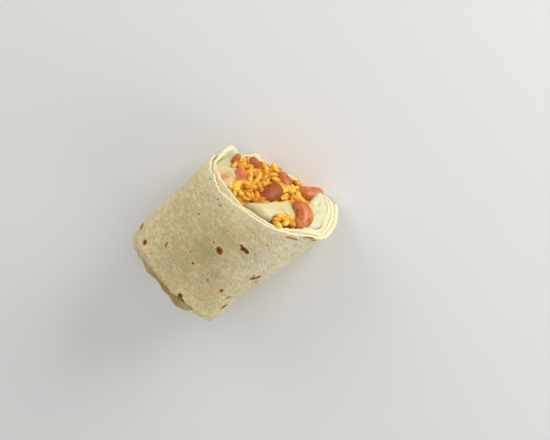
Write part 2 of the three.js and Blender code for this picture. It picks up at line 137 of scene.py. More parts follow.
def turns_at(angle):
    """Turns wound inwards from the seam to the first layer met in this direction."""
    return np.mod(SEAM - angle, FULL_TURN) / FULL_TURN


def cut_x(y, z):
    """The plane of the cut: x falls off evenly with y and with z."""
    return CUT_X + CUT_SLANT_Y * y + CUT_SLANT_Z * z


def parting(angle, from_cut):
    """How far one layer stands off the next: it dies away from the cut as e^(-distance/5), and two
    sines make it uneven round the roll."""
    uneven = 0.04 * np.sin(7 * angle + 1) + 0.03 * np.sin(13 * angle)
    open_side = 0.1 + uneven + 0.3 * facing(angle, 30, 22) - 0.1 * facing(angle, 200, 60)
    return np.exp(-np.maximum(0, from_cut) / 5) * np.maximum(0, open_side)


def layer_depth(turns, angle, from_cut):
    """Depth of a layer's outer face: the turns times the pitch, plus the partings over it."""
    layers_over = smooth((turns - 0.9) / 0.2) + smooth((turns - 1.9) / 0.2)
    return turns * PITCH + layers_over * parting(angle, from_cut)


def rested(x, y, z, depth, angle):
    """The settled underside: the floor plus a low arch, 0.6 (1 - u^2)^2 + 0.4 (1 - v^2)^2 of its
    height, so that it is lowest at four places. A deeper layer stays above it by its depth."""
    along = np.minimum(2, ((x - REST_MIDDLE_X) / REST_HALF_LENGTH) ** 2)
    across = np.minimum(2, (y / REST_HALF_WIDTH) ** 2)
    underside = FLOOR + ARCH * (0.6 * (1 - along) ** 2 + 0.4 * (1 - across) ** 2)
    return np.maximum(z, underside + np.maximum(0, depth - PITCH * turns_at(angle)))


outline_y, outline_z = section_point(np.linspace(0, FULL_TURN, 361), 0)
girth = np.hypot(np.diff(outline_y), np.diff(outline_z)).sum()
print("way round the section before it settles:", girth.round(), "mm")

# %% [markdown]
# ## Noise for relief
#
# Food is never smooth, but its bumps aren't white noise either: they have a size. Random
# values on a lattice, blended between its corners, give bumps of about the lattice's spacing.
# It is done in numpy so that the same bumps can move vertices, and a seed keeps them the same
# in every run.

# %% Write the noise
LATTICE = 48  # values along each side, after which the noise repeats


def lumps(places, size, seed):
    """Value noise in -1 to 1: lattice values blended by smooth steps along each axis."""
    lattice = np.random.default_rng(seed).uniform(-1, 1, (LATTICE, LATTICE, LATTICE))
    scaled = np.asarray(places) / size + 10 * LATTICE
    corner = np.floor(scaled).astype(int)
    blend = smooth(scaled - corner)
    total = 0
    for offset in np.ndindex(2, 2, 2):
        weight = np.prod(np.where(offset, blend, 1 - blend), axis=-1)
        i, j, k = np.moveaxis((corner + offset) % LATTICE, -1, 0)
        total = total + weight * lattice[i, j, k]
    return total


def mixed_lumps(places, size, seed):
    """Three sizes of noise together: each half as large and half as strong as the last."""
    shares = 0.5 ** np.arange(3)
    mixed = sum(lumps(places, size * share, seed + k) * share for k, share in enumerate(shares))
    return mixed / shares.sum()


sample = lumps(np.stack([np.linspace(0, 40, 400)] * 3, -1), 4, 1)
print("noise along a line runs from", sample.min().round(2), "to", sample.max().round(2))

# %% [markdown]
# ## From grids to meshes
#
# Every piece below is a grid of points, so one helper can turn a grid into faces. Each grid is
# joined to itself along one direction, as on a tube, and most tubes are closed at both ends
# with a fan to the middle of the end.

# %% Write the grid helpers
def grid_faces(rows, columns):
    """Quads of a grid of rows by columns, with the last column joined to the first."""
    index = np.arange(rows * columns).reshape(rows, columns)
    index = np.concatenate([index, index[:, :1]], axis=1)
    corners = [index[:-1, :-1], index[:-1, 1:], index[1:, 1:], index[1:, :-1]]
    return np.stack(corners, -1).reshape(-1, 4)


def closed_tube(grid):
    """Points and faces of a tube from its rings, with a middle point at each end and a fan of
    triangles round it."""
    rows, columns = grid.shape[:2]
    middles = np.stack([grid[0].mean(0), grid[-1].mean(0)])
    here = np.arange(columns)
    there = (here + 1) % columns
    last_row = (rows - 1) * columns
    first = np.stack([there, here, np.full(columns, rows * columns)], -1)
    last = np.stack([last_row + here, last_row + there, np.full(columns, rows * columns + 1)], -1)
    points = np.concatenate([grid.reshape(-1, 3), middles])
    return points, [grid_faces(rows, columns), first, last]


def facing_out(points, faces):
    """Turns the faces round if the volume they enclose, a sum of a . (b x c) / 6, is negative."""
    volume = 0
    for block in faces:
        corners = points[block]
        for k in range(1, block.shape[1] - 1):
            volume += np.sum(corners[:, 0] * np.cross(corners[:, k], corners[:, k + 1])) / 6
    return faces if volume > 0 else [block[:, ::-1] for block in faces]


def add_mesh(name, points, faces, attributes=None):
    """A closed mesh at the origin from roll points, face lists and one number per point."""
    faces = facing_out(points, faces)
    mesh = bpy.data.meshes.new(name)
    mesh.from_pydata(to_part(points).tolist(), [], [f for block in faces for f in block.tolist()])
    for key, values in (attributes or {}).items():
        layer = mesh.attributes.new(key, "FLOAT", "POINT")
        layer.data.foreach_set("value", np.asarray(values, dtype=np.float32).ravel())
    mesh.shade_smooth()
    mesh.update()
    piece = bpy.data.objects.new(name, mesh)
    bpy.context.scene.collection.objects.link(piece)
    print(f"{name}: {len(mesh.vertices)} points, {len(mesh.polygons)} faces")
    return piece


# %% [markdown]
# ## The rolled tortilla
#
# The tortilla is one long sheet, so it is made as one: a grid whose rows follow the winding
# and whose columns go once round the sheet's thickness, out along its outer face, over the
# cut edge, back along its inner face and over the edge at the tucked end. That way the
# layers at the cut are real layers.

# %% Shape the sheet's two edges
def outer_share(turns):
    """1 on the outer turn and 0 on the ones under it."""
    return smooth((1.02 - turns) / 0.04)


def inner_share(turns):
    """0 on most of the outer turn, and 1 once the sheet has dived under it."""
    return smooth((turns - 0.85) / 0.3)


def rim_step(turns, angle):
    """How far the edge stands past the cut: bells for lips, lobes and dips, sines for ripple."""
    outer = outer_share(turns)
    outer_lip = 2.2 * facing(angle, 33, 14) + 1.4 * facing(angle, 12, 16) - 3.2 * facing(angle, 345, 14)
    lobe = 5.6 * facing(angle, 351, 15)
    inner_lip = 3.6 * facing(angle, 36, 22) + 0.8 * facing(angle, 60, 14) + lobe
    left_lip = inner_lip + (outer_lip - inner_lip) * outer + 0.4 * facing(angle, 60, 14)
    right_lip = (4.4 - 1.4 * outer) * facing(angle, 150, 18) + 1.8 * facing(angle, 222, 14)
    back_dip = -4.6 * facing(angle, 317, 15) - 3 * facing(angle, 288, 13) - 1.5 * facing(angle, 254, 8)
    back_arch = 4.3 * facing(angle, 313.3, 7)
    ripple = 0.15 * np.sin(9 * angle + 3 * turns) + 0.1 * np.sin(17 * angle + 5 * turns)
    return left_lip + right_lip + back_dip + back_arch + ripple


RECESS = 2.1


def outer_recess(angle):
    """How far the outer layer draws back over the tucked end: RECESS from 45 to 140 degrees."""
    degrees = np.degrees(np.mod(angle, FULL_TURN))
    return RECESS * smooth((degrees - 45) / 12) * smooth((142 - degrees) / 10)


def fold_reach(angle):
    """How far the folded layer stands out from under it: three bells, cut off at 140 degrees."""
    degrees = np.degrees(np.mod(angle, FULL_TURN))
    bells = 1.7 * facing(angle, 65, 9) + 1.7 * facing(angle, 99, 17) + 3.6 * facing(angle, 130, 13)
    return bells * smooth((141 - degrees) / 6)


TURN_LENGTH = 192.0  # about the way round the roll in mm, used to unroll places on the sheet


def along_edge(turns):
    """Places in mm on a straight line, for noise that runs along the sheet's edge."""
    way = turns * TURN_LENGTH
    return np.concatenate([way, 0 * way, 0 * way], axis=1)


def sheet_edges(turns, angle):
    """x of the sheet's edge at the tucked end and of the one at the cut. The first has a recess,
    a fold and a low corner, and the second has a rim. Two sizes of noise fray them."""
    y_flat, z_flat = inset_point(angle, 0.0, PITCH * turns)
    recess = outer_recess(angle) * outer_share(turns)
    fold = (0.6 + fold_reach(angle)) * inner_share(turns)
    start_x = END_X - 0.075 * y_flat + recess - fold
    start_x = start_x - 1.8 * facing(angle, 168, 15) - 2.4 * facing(angle, 176, 8)
    end_x = cut_x(y_flat, z_flat) + rim_step(turns, angle)
    edge = along_edge(turns)
    fray = 0.18 + 0.3 * facing(angle, 30, 25) + 0.5 * facing(angle, 12, 8)
    end_x = end_x + fray * (lumps(edge, 1.7, 5) + lumps(edge, 0.8, 6))[:, None]
    start_x = start_x + 0.25 * lumps(edge + 50, 2.5, 7)[:, None]
    return start_x, end_x


# %% [markdown]
# The rows of the grid are closest at the seam and at the inner edge, where the sheet thins to
# a rounded edge. Its columns are closest at both ends of the roll.

# %% Lay out the sheet's grid
winding = np.concatenate(
    [
        [0.0, 0.0008, 0.002, 0.0035],
        np.linspace(0.006, 0.08, 18),
        np.linspace(0.082, 0.62, 250),
        np.linspace(0.625, 1.06, 100),
        np.linspace(1.064, TURNS - 0.006, 150),
        [TURNS - 0.0035, TURNS - 0.002, TURNS - 0.0008, TURNS],
    ]
)
FACE_COLUMNS, EDGE_COLUMNS = 80, 6
face_steps = np.linspace(0, 1, FACE_COLUMNS)
face_steps = face_steps - 0.09 * np.sin(FULL_TURN * face_steps)
edge_turn = np.linspace(0, np.pi, EDGE_COLUMNS + 2)[1:-1]
edge_across = (1 - np.cos(edge_turn)) / 2
along = np.concatenate([face_steps, np.ones(EDGE_COLUMNS), face_steps[::-1], np.zeros(EDGE_COLUMNS)])
under = np.concatenate([np.zeros(FACE_COLUMNS), edge_across, np.ones(FACE_COLUMNS), 1 - edge_across])
bulge = np.concatenate([np.zeros(FACE_COLUMNS), np.sin(edge_turn)] * 2)
bulge[-EDGE_COLUMNS:] *= -1
layer_y, layer_z = inset_point(SEAM - FULL_TURN * winding, 0.0, PITCH * winding + SHEET / 2)
print("rows round the winding:", len(winding), "columns round the sheet:", len(along))
print("length of the sheet:", np.hypot(np.diff(layer_y), np.diff(layer_z)).sum().round(), "mm")

# %% [markdown]
# The sheet gets its relief before it is a mesh. A flour tortilla has slow swells, fine
# creases that run round the roll where it was bent, and a low blister under every toasted
# spot. The spots themselves are kept as a value on each point, for the material to read.

# %% Place the toast marks
# Each mark: the direction on the roll in degrees, x in mm, half its length, half its width,
# how it is turned, and how dark it is.
SEEN_MARKS = [
    (19.2, -28.0, 2.8, 1.2, 15, 0.95),
    (41.2, -28.2, 1.6, 1.4, 61, 1.0),
    (57.5, -16.8, 1.6, 1.2, 61, 0.46),
    (59.3, -18.2, 0.9, 0.55, 66, 0.6),
    (91, 5.5, 1.6, 1.1, 147, 0.5),
    (102.2, 5.0, 2.6, 1.7, 7, 1.1),
    (114, 16.0, 1.7, 0.5, 8, 0.9),
    (117, 15.0, 1.1, 1.0, 144, 0.7),
    (119.8, 16.0, 2.4, 0.9, 8, 1.0),
    (123, 15.8, 0.9, 1.0, 160, 0.7),
    (149.5, 5.2, 1.6, 1.1, 134, 0.85),
    (147.2, 7.2, 1.1, 0.5, 46, 0.6),
    (152.2, 7.8, 1.6, 0.7, 103, 1.0),
    (157, 4.2, 1.0, 0.9, 115, 0.95),
    (137.7, -11.8, 1.6, 1.3, 20, 0.75),
    (150.8, -14.5, 1.6, 0.9, 96, 0.6),
    (152.8, -13.2, 1.1, 0.8, 10, 0.6),
    (161.2, -21.2, 1.8, 1.7, 115, 1.05),
    (159, -23.8, 1.3, 0.6, 110, 0.5),
    (155.2, -27.8, 1.3, 0.5, 155, 0.4),
    (113, -30.2, 1.9, 1.3, 23, 1.0),
    (119, -31.2, 1.4, 0.7, 17, 0.5),
    (138, 38.4, 2.8, 0.9, 149, 0.5),
    (144.2, 39.8, 1.7, 0.8, 152, 0.45),
    (149, 44.2, 2.4, 0.9, 129, 0.5),
    (153.5, 46.4, 1.5, 0.9, 121, 0.9),
    (157.8, 44.9, 2.3, 1.7, 144, 0.45),
]
# Dots too small for the grid's points are left to the material: direction, x and radius.
DOTS = [
    (94, -11.8, 0.85),
    (119.3, -12, 0.7),
    (64.5, 21.5, 0.6),
    (57.5, 22.2, 0.55),
    (56, 8.2, 0.6),
    (82, -9, 0.5),
    (99, -14.6, 0.45),
    (36, 24, 0.5),
    (130, 27, 0.5),
]
FREE_MARKS = 90
SEEN_TURNS = (0.13, 0.6)  # the stretch of the winding that the marks above cover


def marks_table():
    """The marks on the sheet as rows: way round in mm, x, half length, half width, turn, dark.
    Free ones lie by chance on the rest of the sheet."""
    seen = np.array(SEEN_MARKS, dtype=float)
    seen[:, 0] = turns_at(np.radians(seen[:, 0])) * TURN_LENGTH
    rng = np.random.default_rng(21)
    size = 0.5 + 2.2 * rng.random(FREE_MARKS) ** 2.5
    free = np.stack(
        [
            rng.random(FREE_MARKS) * TURNS * TURN_LENGTH,
            rng.uniform(-34, 40, FREE_MARKS),
            size * rng.uniform(0.9, 1.4, FREE_MARKS),
            size * rng.uniform(0.6, 1.0, FREE_MARKS),
            rng.uniform(0, 180, FREE_MARKS),
            rng.uniform(0.35, 1.0, FREE_MARKS),
        ],
        -1,
    )
    seen_from, seen_to = np.array(SEEN_TURNS) * TURN_LENGTH
    on_the_rest = (free[:, 0] < seen_from) | (free[:, 0] > seen_to)
    return np.concatenate([seen, free[on_the_rest]])


MARKS = marks_table()
print("toast marks:", len(MARKS))


def mark_field(way, x, spread):
    """Strength of the nearest marks: the sum of dark times e^(-d^2), d measured in mark sizes."""
    field = np.zeros(np.broadcast(way, x).shape)
    for mark_way, mark_x, length, width, turn, dark in MARKS:
        c, s = np.cos(np.radians(turn)), np.sin(np.radians(turn))
        u = ((way - mark_way) * c + (x - mark_x) * s) / (length * spread)
        v = ((x - mark_x) * c - (way - mark_way) * s) / (width * spread)
        field += dark * np.exp(-(u * u + v * v))
    return np.minimum(field, 1.2)


# %% [markdown]
# The sheet is then wound: each row of the grid turns further inwards from the seam, and each
# layer lies one pitch under the last. Near the cut the layers part a little, and at the tucked
# end their edges curl in over the flaps.

# %% Write the sheet's relief and its values
def sheet_relief(way, x):
    """Swells, creases that run round the roll, blisters under the marks, and grain, in mm."""
    places = np.stack(np.broadcast_arrays(way, x, 20.0 * under), -1)
    creases = lumps(places * [0.055, 0.55, 0.2], 1.0, 11)
    swells = mixed_lumps(places, 13, 12)
    blisters = mark_field(way, x, 1.6) + 0.5 * smooth((lumps(places, 5.5, 13) - 0.35) / 0.5)
    grain = lumps(places, 1.1, 14)
    return 0.22 * swells + 0.08 * creases + 0.25 * blisters + 0.03 * grain


def sheet_looks(turns, angle, x, start_x, end_x):
    """One value per point for each look: toast, gold, painted shade on the top and the underside, flour
    dust with painted light on one side, painted light in a pale rim by the cut, the inner face and the
    cut edge."""
    from_start, from_cut = x - start_x, end_x - x
    # the folded layer is golden brown where it stands out at the tucked end, and the outer layer's edge
    # over it gets a brown band
    gold = facing(angle, 98, 38) * inner_share(turns) * smooth((7 - from_start) / 5)
    patchy = smooth(0.8 + lumps(along_edge(turns), 6, 15))[:, None]
    edge_band = outer_recess(angle) / RECESS * patchy
    toast = mark_field(turns * TURN_LENGTH, x, 1.0)
    toast = toast + 0.42 * outer_share(turns) * edge_band * smooth(1.15 - from_start / 1.2)
    # the top of the roll and its underside get painted shade, and one side gets flour dust with painted
    # light
    top = facing(angle, 92, 36) * smooth((x + 34) / 16) * smooth(from_cut / 26)
    return {
        "toast": toast,
        "gold": gold,
        # painted shade on the top of the roll and its underside
        "top_and_under_painted_shade": top + facing(angle, 270, 40),
        # flour dust and painted light on one side of the roll
        "dust_and_painted_light": facing(angle, 148, 24) * smooth((x + 20) / 30),
        # painted light in a band by the cut
        "painted_light_by_the_cut": np.exp(-np.maximum(0, from_cut) / 5),
        "inside": under + 0 * x,
        "cut_edge": np.where(along > 0.5, np.abs(bulge), 0) + 0 * x,
    }


# %% Roll the sheet
EDGE_ROUNDING = 1.1  # mm over which the sheet thins at the seam and at its inner edge
CURL_LENGTH = 2.4


def rolled_sheet():
    """Points of the sheet: angle = seam - 2 pi turns, x between the two edges, and the depth
    from the layer's place, the way through the thickness, the curl, the flare and the relief."""
    turns = winding[:, None]
    angle = SEAM - FULL_TURN * turns
    start_x, end_x = sheet_edges(turns, angle)
    x = start_x + (end_x - start_x) * along + 0.3 * bulge
    from_edge = np.minimum(turns, TURNS - turns) * TURN_LENGTH
    rounded = 1 - (1 - np.clip(from_edge / EDGE_ROUNDING, 0, 1)) ** 2
    fullness = np.sqrt(np.clip(rounded, 0.02, 1))
    thinned = 0.3 * facing(angle, 30, 60)
    pressed = 1 - thinned * np.exp(-np.maximum(0, end_x - x) / 2.5)
    across = 0.5 + (under - 0.5) * fullness * pressed
    relief = sheet_relief(turns * TURN_LENGTH, x)
    outwards = 1 - 2 * under
    inner = inner_share(turns)
    rounding = 1 - np.sqrt(1 - np.clip(1 - (x - start_x) / CURL_LENGTH, 0, 1) ** 2)
    curl = 1.9 * rounding * (inner + 0.7 * (1 - inner) * facing(angle, 45, 25))
    flare = (0.6 + 1.0 * inner) * facing(angle, 347, 22) * np.exp(-(end_x - x) / 4.5)
    depth = layer_depth(turns, angle, end_x - x) + SHEET * across + curl - flare
    depth = depth - relief * outwards * fullness * 0.8
    y, z = inset_point(angle, x, depth)
    z = rested(x, y, z, depth, angle)
    return np.stack([x, y, z], -1), sheet_looks(turns, angle, x, start_x, end_x)


sheet_points, sheet_values = rolled_sheet()
rows, columns = sheet_points.shape[:2]
sheet_quads = grid_faces(rows, columns)
print("looks kept on the sheet:", ", ".join(sheet_values))

# %% [markdown]
# The two long edges of the sheet are open so far, because its first and last rows are thin
# loops. Faces between the two sides of each loop close them.

# %% Close the seam edge and the inner edge
def loop_caps(rows, columns):
    """Quads between the opposite points of the first loop, and of the last one."""
    half = np.arange(columns // 2 - 1)
    opposite = columns - 1 - half
    shift = (rows - 1) * columns
    first = np.stack([half, half + 1, opposite - 1, opposite], -1)[:, ::-1]
    last = np.stack([half, half + 1, opposite - 1, opposite], -1) + shift
    return [first, last]


tortilla_wrap = add_mesh(
    "tortilla_wrap",
    sheet_points.reshape(-1, 3),
    [sheet_quads] + loop_caps(rows, columns),
    sheet_values,
)

# %% [markdown]
# ## Pads
#
# Many of the other pieces are pads: bodies with a smooth outline, a swollen front and a back
# that is hidden. One helper makes them all. Rings run from a centre out to the outline on the
# front, and back to the centre behind, so the edge is rounded and the body is closed.

# %% Write the pad helpers
PAD_SHARES = np.sin(np.linspace(0.03, 1, 26) * np.pi / 2)  # rings, closest at the outline


def smooth_loop(corners, count=150):
    """A closed curve through given corners. At each corner it runs parallel to the line between the two
    neighbours, which is the Catmull-Rom rule for third-degree pieces."""
    corners = np.asarray(corners, dtype=float)
    way = np.linspace(0, len(corners), count, endpoint=False)
    last_corner = way.astype(int)
    t = (way - last_corner)[:, None]
    four = (corners[(last_corner + k) % len(corners)] for k in (-1, 0, 1, 2))
    before, here, after, later = four
    first = after - before
    second = 2 * before - 5 * here + 4 * after - later
    third = 3 * here - before - 3 * after + later
    return here + 0.5 * (first * t + second * t**2 + third * t**3)


def pad(name, outline, centre, front, back, attributes=None):
    """A closed body: point = centre + share (outline - centre), for shares from 0 to 1 on the
    front and back again behind. front and back give the point for (y, z, share)."""
    rings = np.asarray(centre) + PAD_SHARES[:, None, None] * (outline - np.asarray(centre))
    y, z = rings[..., 0], rings[..., 1]
    share = PAD_SHARES[:, None] + 0 * y
    grid = np.concatenate([front(y, z, share), back(y, z, share)[::-1]])
    points, faces = closed_tube(grid)
    values = {key: fill(points) for key, fill in (attributes or {}).items()}
    return add_mesh(name, points, faces, values)


def share_of(y, z, edge_heading, edge_reach):
    """How far out a place is: its distance from the middle, over the edge's in its direction."""
    first = edge_heading[0]
    heading = np.mod(np.arctan2(z, y) - first, FULL_TURN) + first
    headings = np.append(edge_heading, first + FULL_TURN)
    reaches = np.append(edge_reach, edge_reach[0])
    return np.hypot(y, z) / np.interp(heading, headings, reaches)


print("rings on the front of a pad:", len(PAD_SHARES))

# %% [markdown]
# ## The tucked end
#
# Before it is rolled, the sides of the tortilla are folded in, so the end is closed by flaps
# that were pressed flat by the next turn. The lower flap is a low dome with a pocket where it
# creases at each side. The upper one hangs over it down to a slanting edge.

# %% Shape the flaps
TUCK_INNER_X, TUCK_OUTER_X, TUCK_BULGE, FLAP = END_X + 5, END_X + 1.2, 4.6, 1.7


def tuck_outline(angle):
    """The edge of the flaps: inside the second layer, deeper by its share of the winding."""
    turns = turns_at(angle)
    depth = PITCH * (1 + turns - smooth((turns - 0.86) / 0.14)) + SHEET * 0.75 + 1.4
    return np.stack(inset_point(angle, END_X, depth), -1)


def tuck_face(y, z, share):
    """The dome x = edge - bulge (1 - share^4.5), less a pocket at each side and fine pleats
    that run towards the middle."""
    dome = -TUCK_BULGE * (1 - share**4.5)
    wide_pocket = 6.5 * bell(y + 24 - 0.3 * (z - 8), 5) * bell(z - 7, 8)
    narrow_pocket = 3.4 * bell(y - 24 + 0.3 * (z - 8), 3) * bell(z - 6, 7)
    crease = -0.9 * bell(z + 12 - 0.3 * y, 2.4) * smooth((20 - np.abs(y)) / 8)
    angle = np.arctan2(z, y)
    pleats = 0.35 * share * (1 - share) * 4 * np.sin(11 * angle + 2 * np.sin(3 * angle))
    fold = -(1.0 + fold_reach(angle)) * share**3
    face = TUCK_OUTER_X + dome + wide_pocket + narrow_pocket + crease + pleats + fold
    return np.minimum(face, TUCK_INNER_X - 1.4)


EDGE_POINTS = 180
edge_angles = np.linspace(0, FULL_TURN, EDGE_POINTS, endpoint=False)
tuck_edge = tuck_outline(edge_angles)
tuck_reach = np.hypot(tuck_edge[:, 0], tuck_edge[:, 1])
tuck_heading = np.unwrap(np.arctan2(tuck_edge[:, 1], tuck_edge[:, 0]))


def tuck_share(y, z):
    """How far out a place is on the tucked end: 0 in the middle, 1 at the edge and beyond."""
    return np.minimum(1, share_of(y, z, tuck_heading, tuck_reach))


def flap_edge(y):
    """Height of the upper flap's edge: a straight slant with two waves."""
    return -3 - 0.7 * y + 1.3 * np.sin(0.28 * y + 0.6) + 0.5 * np.sin(0.7 * y)


def tuck_relief(x, y, z):
    """Low swells and grain, as on the rolled sheet."""
    places = np.stack([x, y, z], -1)
    return 0.3 * mixed_lumps(places, 9, 31) + 0.05 * lumps(places, 1.2, 33)


def under_flap_front(y, z, share):
    """The lower flap's outer face, with its relief."""
    x = tuck_face(y, z, share)
    return np.stack([x - tuck_relief(x, y, z), y, z], -1)


def tuck_back(y, z, share):
    """The flat behind the flaps, inside the roll."""
    return np.stack([TUCK_INNER_X + 0 * y, y, z], -1)


# %% Make the two flaps
def lower_flap_toast(points):
    """Toast on the lower flap: a few spots by noise."""
    return 0.9 * smooth((lumps(points, 4.5, 37) - 0.5) / 0.3)


def upper_flap_toast(points):
    """Toast on the upper flap: a band along its free edge, and a few spots by noise."""
    above = points[:, 2] - flap_edge(points[:, 1])
    band = 0.55 * bell(above - 0.6, 1.0) * smooth(0.7 + lumps(points, 5, 36))
    spots = 0.9 * smooth((lumps(points, 4.2, 35) - 0.55) / 0.3)
    return np.clip(band + spots, 0, 1.1)


def flap_gold(points):
    """Golden at the edge of the flaps where they stand out from under the last layer."""
    y, z = points[:, 1], points[:, 2]
    return facing(np.arctan2(z, y), 98, 38) * smooth((tuck_share(y, z) - 0.6) / 0.3)


def upper_flap_outline():
    """The free edge from one wall to the other, then back along the edge of the dome."""
    above = tuck_edge[tuck_edge[:, 1] > flap_edge(tuck_edge[:, 0])]
    order = np.argsort(np.mod(np.arctan2(above[:, 1], above[:, 0]) + np.radians(95), FULL_TURN))
    arc = above[order]
    y = np.linspace(arc[-1, 0], arc[0, 0], 62)[1:-1]
    return np.concatenate([arc, np.stack([y, flap_edge(y)], -1)])


def upper_flap_front(y, z, share):
    """The dome again, moved out by the flap's thickness, which rounds off at its edge."""
    full = np.sqrt(1 - np.clip(share, 0, 1) ** 14)
    x = tuck_face(y, z, tuck_share(y, z)) - 0.25 - (FLAP - 0.25) * full
    return np.stack([x - tuck_relief(x + 9, y, z) * full, y, z], -1)


def upper_flap_back(y, z, share):
    """The flap's underside, just under the lower flap's face."""
    return np.stack([tuck_face(y, z, tuck_share(y, z)) + 0.3, y, z], -1)


lower_flap = pad(
    "tortilla_lower_flap",
    tuck_edge,
    (0, 0),
    under_flap_front,
    tuck_back,
    {"toast": lower_flap_toast, "gold": flap_gold},
)
upper_flap = pad(
    "tortilla_upper_flap",
    upper_flap_outline(),
    (1.5, 8),
    upper_flap_front,
    upper_flap_back,
    {"toast": upper_flap_toast, "gold": flap_gold},
)

# %% [markdown]
# ## The frame of the cut
#
# Everything in the filling is placed on the plane of the cut: by its y and z there and by its
# height above the plane. Three directions at right angles do it, one out of the plane and two
# in it. The filling swells out of the cut as a mound, so that height has a formula too.

# %% Set up the cut's frame
CUT_SLANT = np.hypot(CUT_SLANT_Y, CUT_SLANT_Z)
CUT_NORMAL = np.array([1, -CUT_SLANT_Y, -CUT_SLANT_Z]) / np.hypot(1, CUT_SLANT)
CUT_ACROSS = np.array([CUT_SLANT_Y, 1, 0]) / np.hypot(CUT_SLANT_Y, 1)
CUT_UP = np.cross(CUT_NORMAL, CUT_ACROSS)
MOUND = 4.2
CORE_CLEARANCE = 0.35


def on_cut(y, z, height):
    """The point of the cut's plane at y and z, moved out of it by height along the normal."""
    in_plane = np.stack([cut_x(y, z), y + 0 * z, z + 0 * y], -1)
    return in_plane + np.asarray(height)[..., None] * CUT_NORMAL


def core_depth(angle, from_cut):
    """Just inside the innermost layer, with a ramp over the step where the sheet begins."""
    turns = turns_at(angle)
    layers = turns + 1 + smooth((TURNS - 2 + 0.12 - turns) / 0.08)
    return layer_depth(layers, angle, from_cut) + SHEET + CORE_CLEARANCE


core_y, core_z = inset_point(edge_angles, CUT_X, core_depth(edge_angles, 0))
core_reach = np.hypot(core_y, core_z)
core_heading = np.unwrap(np.arctan2(core_z, core_y))


def cut_share(y, z):
    """How far out a place is on the cut: 0 in the middle, 1 at the wall of the filling."""
    return share_of(y, z, core_heading, core_reach)


def mound_height(y, z):
    """A dome, MOUND (1 - share^4), a little lower at the back, with a hollow against the +Y wall."""
    share = np.minimum(cut_share(y, z), 1)
    dome = MOUND * (1 - share**4) * (0.82 - 0.45 * smooth((-z - 6) / 12))
    hollow = -3.4 * bell(y - 26, 6) * bell(z + 2, 9)
    return dome + hollow - 0.5 * share**6


def turned(heading, lift, roll=0.0):
    """Three rows: the long axis, the side and the top of something that lies on the cut. The
    heading turns it in the plane, lift tips it out, and roll turns it about its long axis."""
    heading, lift, roll = np.radians([heading, lift, roll])
    flat = np.cos(heading) * CUT_ACROSS + np.sin(heading) * CUT_UP
    axis = np.cos(lift) * flat + np.sin(lift) * CUT_NORMAL
    side = np.cross(CUT_NORMAL, axis)
    side /= np.linalg.norm(side)
    top = np.cross(axis, side)
    rolled_side = np.cos(roll) * side + np.sin(roll) * top
    rolled_top = np.cos(roll) * top - np.sin(roll) * side
    return np.stack([axis, rolled_side, rolled_top])


nearest, farthest = core_reach.min().round(1), core_reach.max().round(1)
print("reach of the filling on the cut:", nearest, "to", farthest, "mm")

# %% [markdown]
# ## Pinto beans
#
# A cooked pinto bean is a plump oval that bends towards its scar. Its skin is tight and shiny,
# but it puckers a little round the scar and at the ends. Each one is a grid of rings along its
# axis, so the bend and the pucker are simple terms in the formula.

# %% Shape the beans
BEAN_LENGTH, BEAN_WIDTH, BEAN_THICKNESS = 15.0, 10.0, 8.6
# Each bean: y and z on the cut, height, heading, lift, roll, size, bend, and how far it has
# darkened in the sauce.
BEANS = [
    (25.6, -6.6, 1.2, 98, -10, 90, 0.54, 1.3, 0.25),
    (16.5, -10.8, 1.1, 146, -4, 40, 0.8, 1.3, 0.55),
    (15.4, 5.2, 1.8, 142, -16, 20, 0.87, 1.3, 0.0),
    (23.0, 9.0, -2.6, 130, -8, 0, 0.84, 1.3, 0.0),
    (-1.1, 4.6, 2.6, -108, 16, 10, 1.1, 1.3, 0.75),
    (-0.5, -13.2, 1.5, 156, -16, -20, 0.86, 1.3, 0.1),
    (-20.8, 6.0, 2.6, -52, 26, 10, 1.2, 2.7, 0.0),
    (-14.5, -13.8, 3.0, -143, 6, 15, 1.05, 1.3, 0.0),
]
BEAN_RINGS, BEAN_AROUND = 44, 36
PLUMPNESS = 2.24  # about twice the widest radius in the formula, so that the widths come out true


def bean_points(seed, size, bend):
    """Rings of a bent, blunt oval: radius (1 - |t|^2.7)^0.5, a little fuller at one end, moved sideways
    by bend (t^2 - 0.4), with a dent at the scar and puckers all over."""
    t = np.sin(np.linspace(-0.497, 0.497, BEAN_RINGS) * np.pi)[:, None]
    around = np.linspace(0, FULL_TURN, BEAN_AROUND, endpoint=False)[None, :]
    radius = np.sqrt(1 - np.abs(t) ** 2.7) * (1.06 + 0.05 * t)
    scar = np.maximum(0, np.cos(around - np.pi / 2)) ** 6 * bell(t, 0.28)
    side = radius * np.sin(around) * (1 - 0.16 * scar)
    top = radius * np.cos(around)
    lengthwise = t * BEAN_LENGTH / 2 * size + 0 * around
    across = side * BEAN_WIDTH / PLUMPNESS * size + bend * size * (t * t - 0.4)
    points = np.stack([lengthwise, across, top * BEAN_THICKNESS / PLUMPNESS * size], -1)
    stretched = points * [0.5, 1, 1] + 40 * seed
    wrinkles = lumps(stretched * [0.4, 1.4, 1.4], 1.3, 60 + seed)
    dents = 0.16 * mixed_lumps(stretched, 4.5, 50 + seed) + 0.05 * wrinkles
    normal = points / np.linalg.norm(points, axis=-1, keepdims=True)
    return points + dents[..., None] * normal


def bean_frame(spec):
    """Where a bean is: its centre, its three axes and half its length, width and thickness."""
    y, z, height, heading, lift, roll, size, _, _ = spec
    half = np.array([BEAN_LENGTH, BEAN_WIDTH, BEAN_THICKNESS]) / 2 * size
    return on_cut(y, z, height), turned(heading, lift, roll), half


def make_bean(number, spec):
    """One bean on the cut: its rings are turned by the three axes and moved to their centre."""
    *_, size, bend, cooked = spec
    centre, axes, _ = bean_frame(spec)
    points, faces = closed_tube(bean_points(number, size, bend) @ axes + centre)
    return add_mesh(f"pinto_bean_{number}", points, faces, {"cooked": np.full(len(points), cooked)})


beans = [make_bean(i + 1, spec) for i, spec in enumerate(BEANS)]
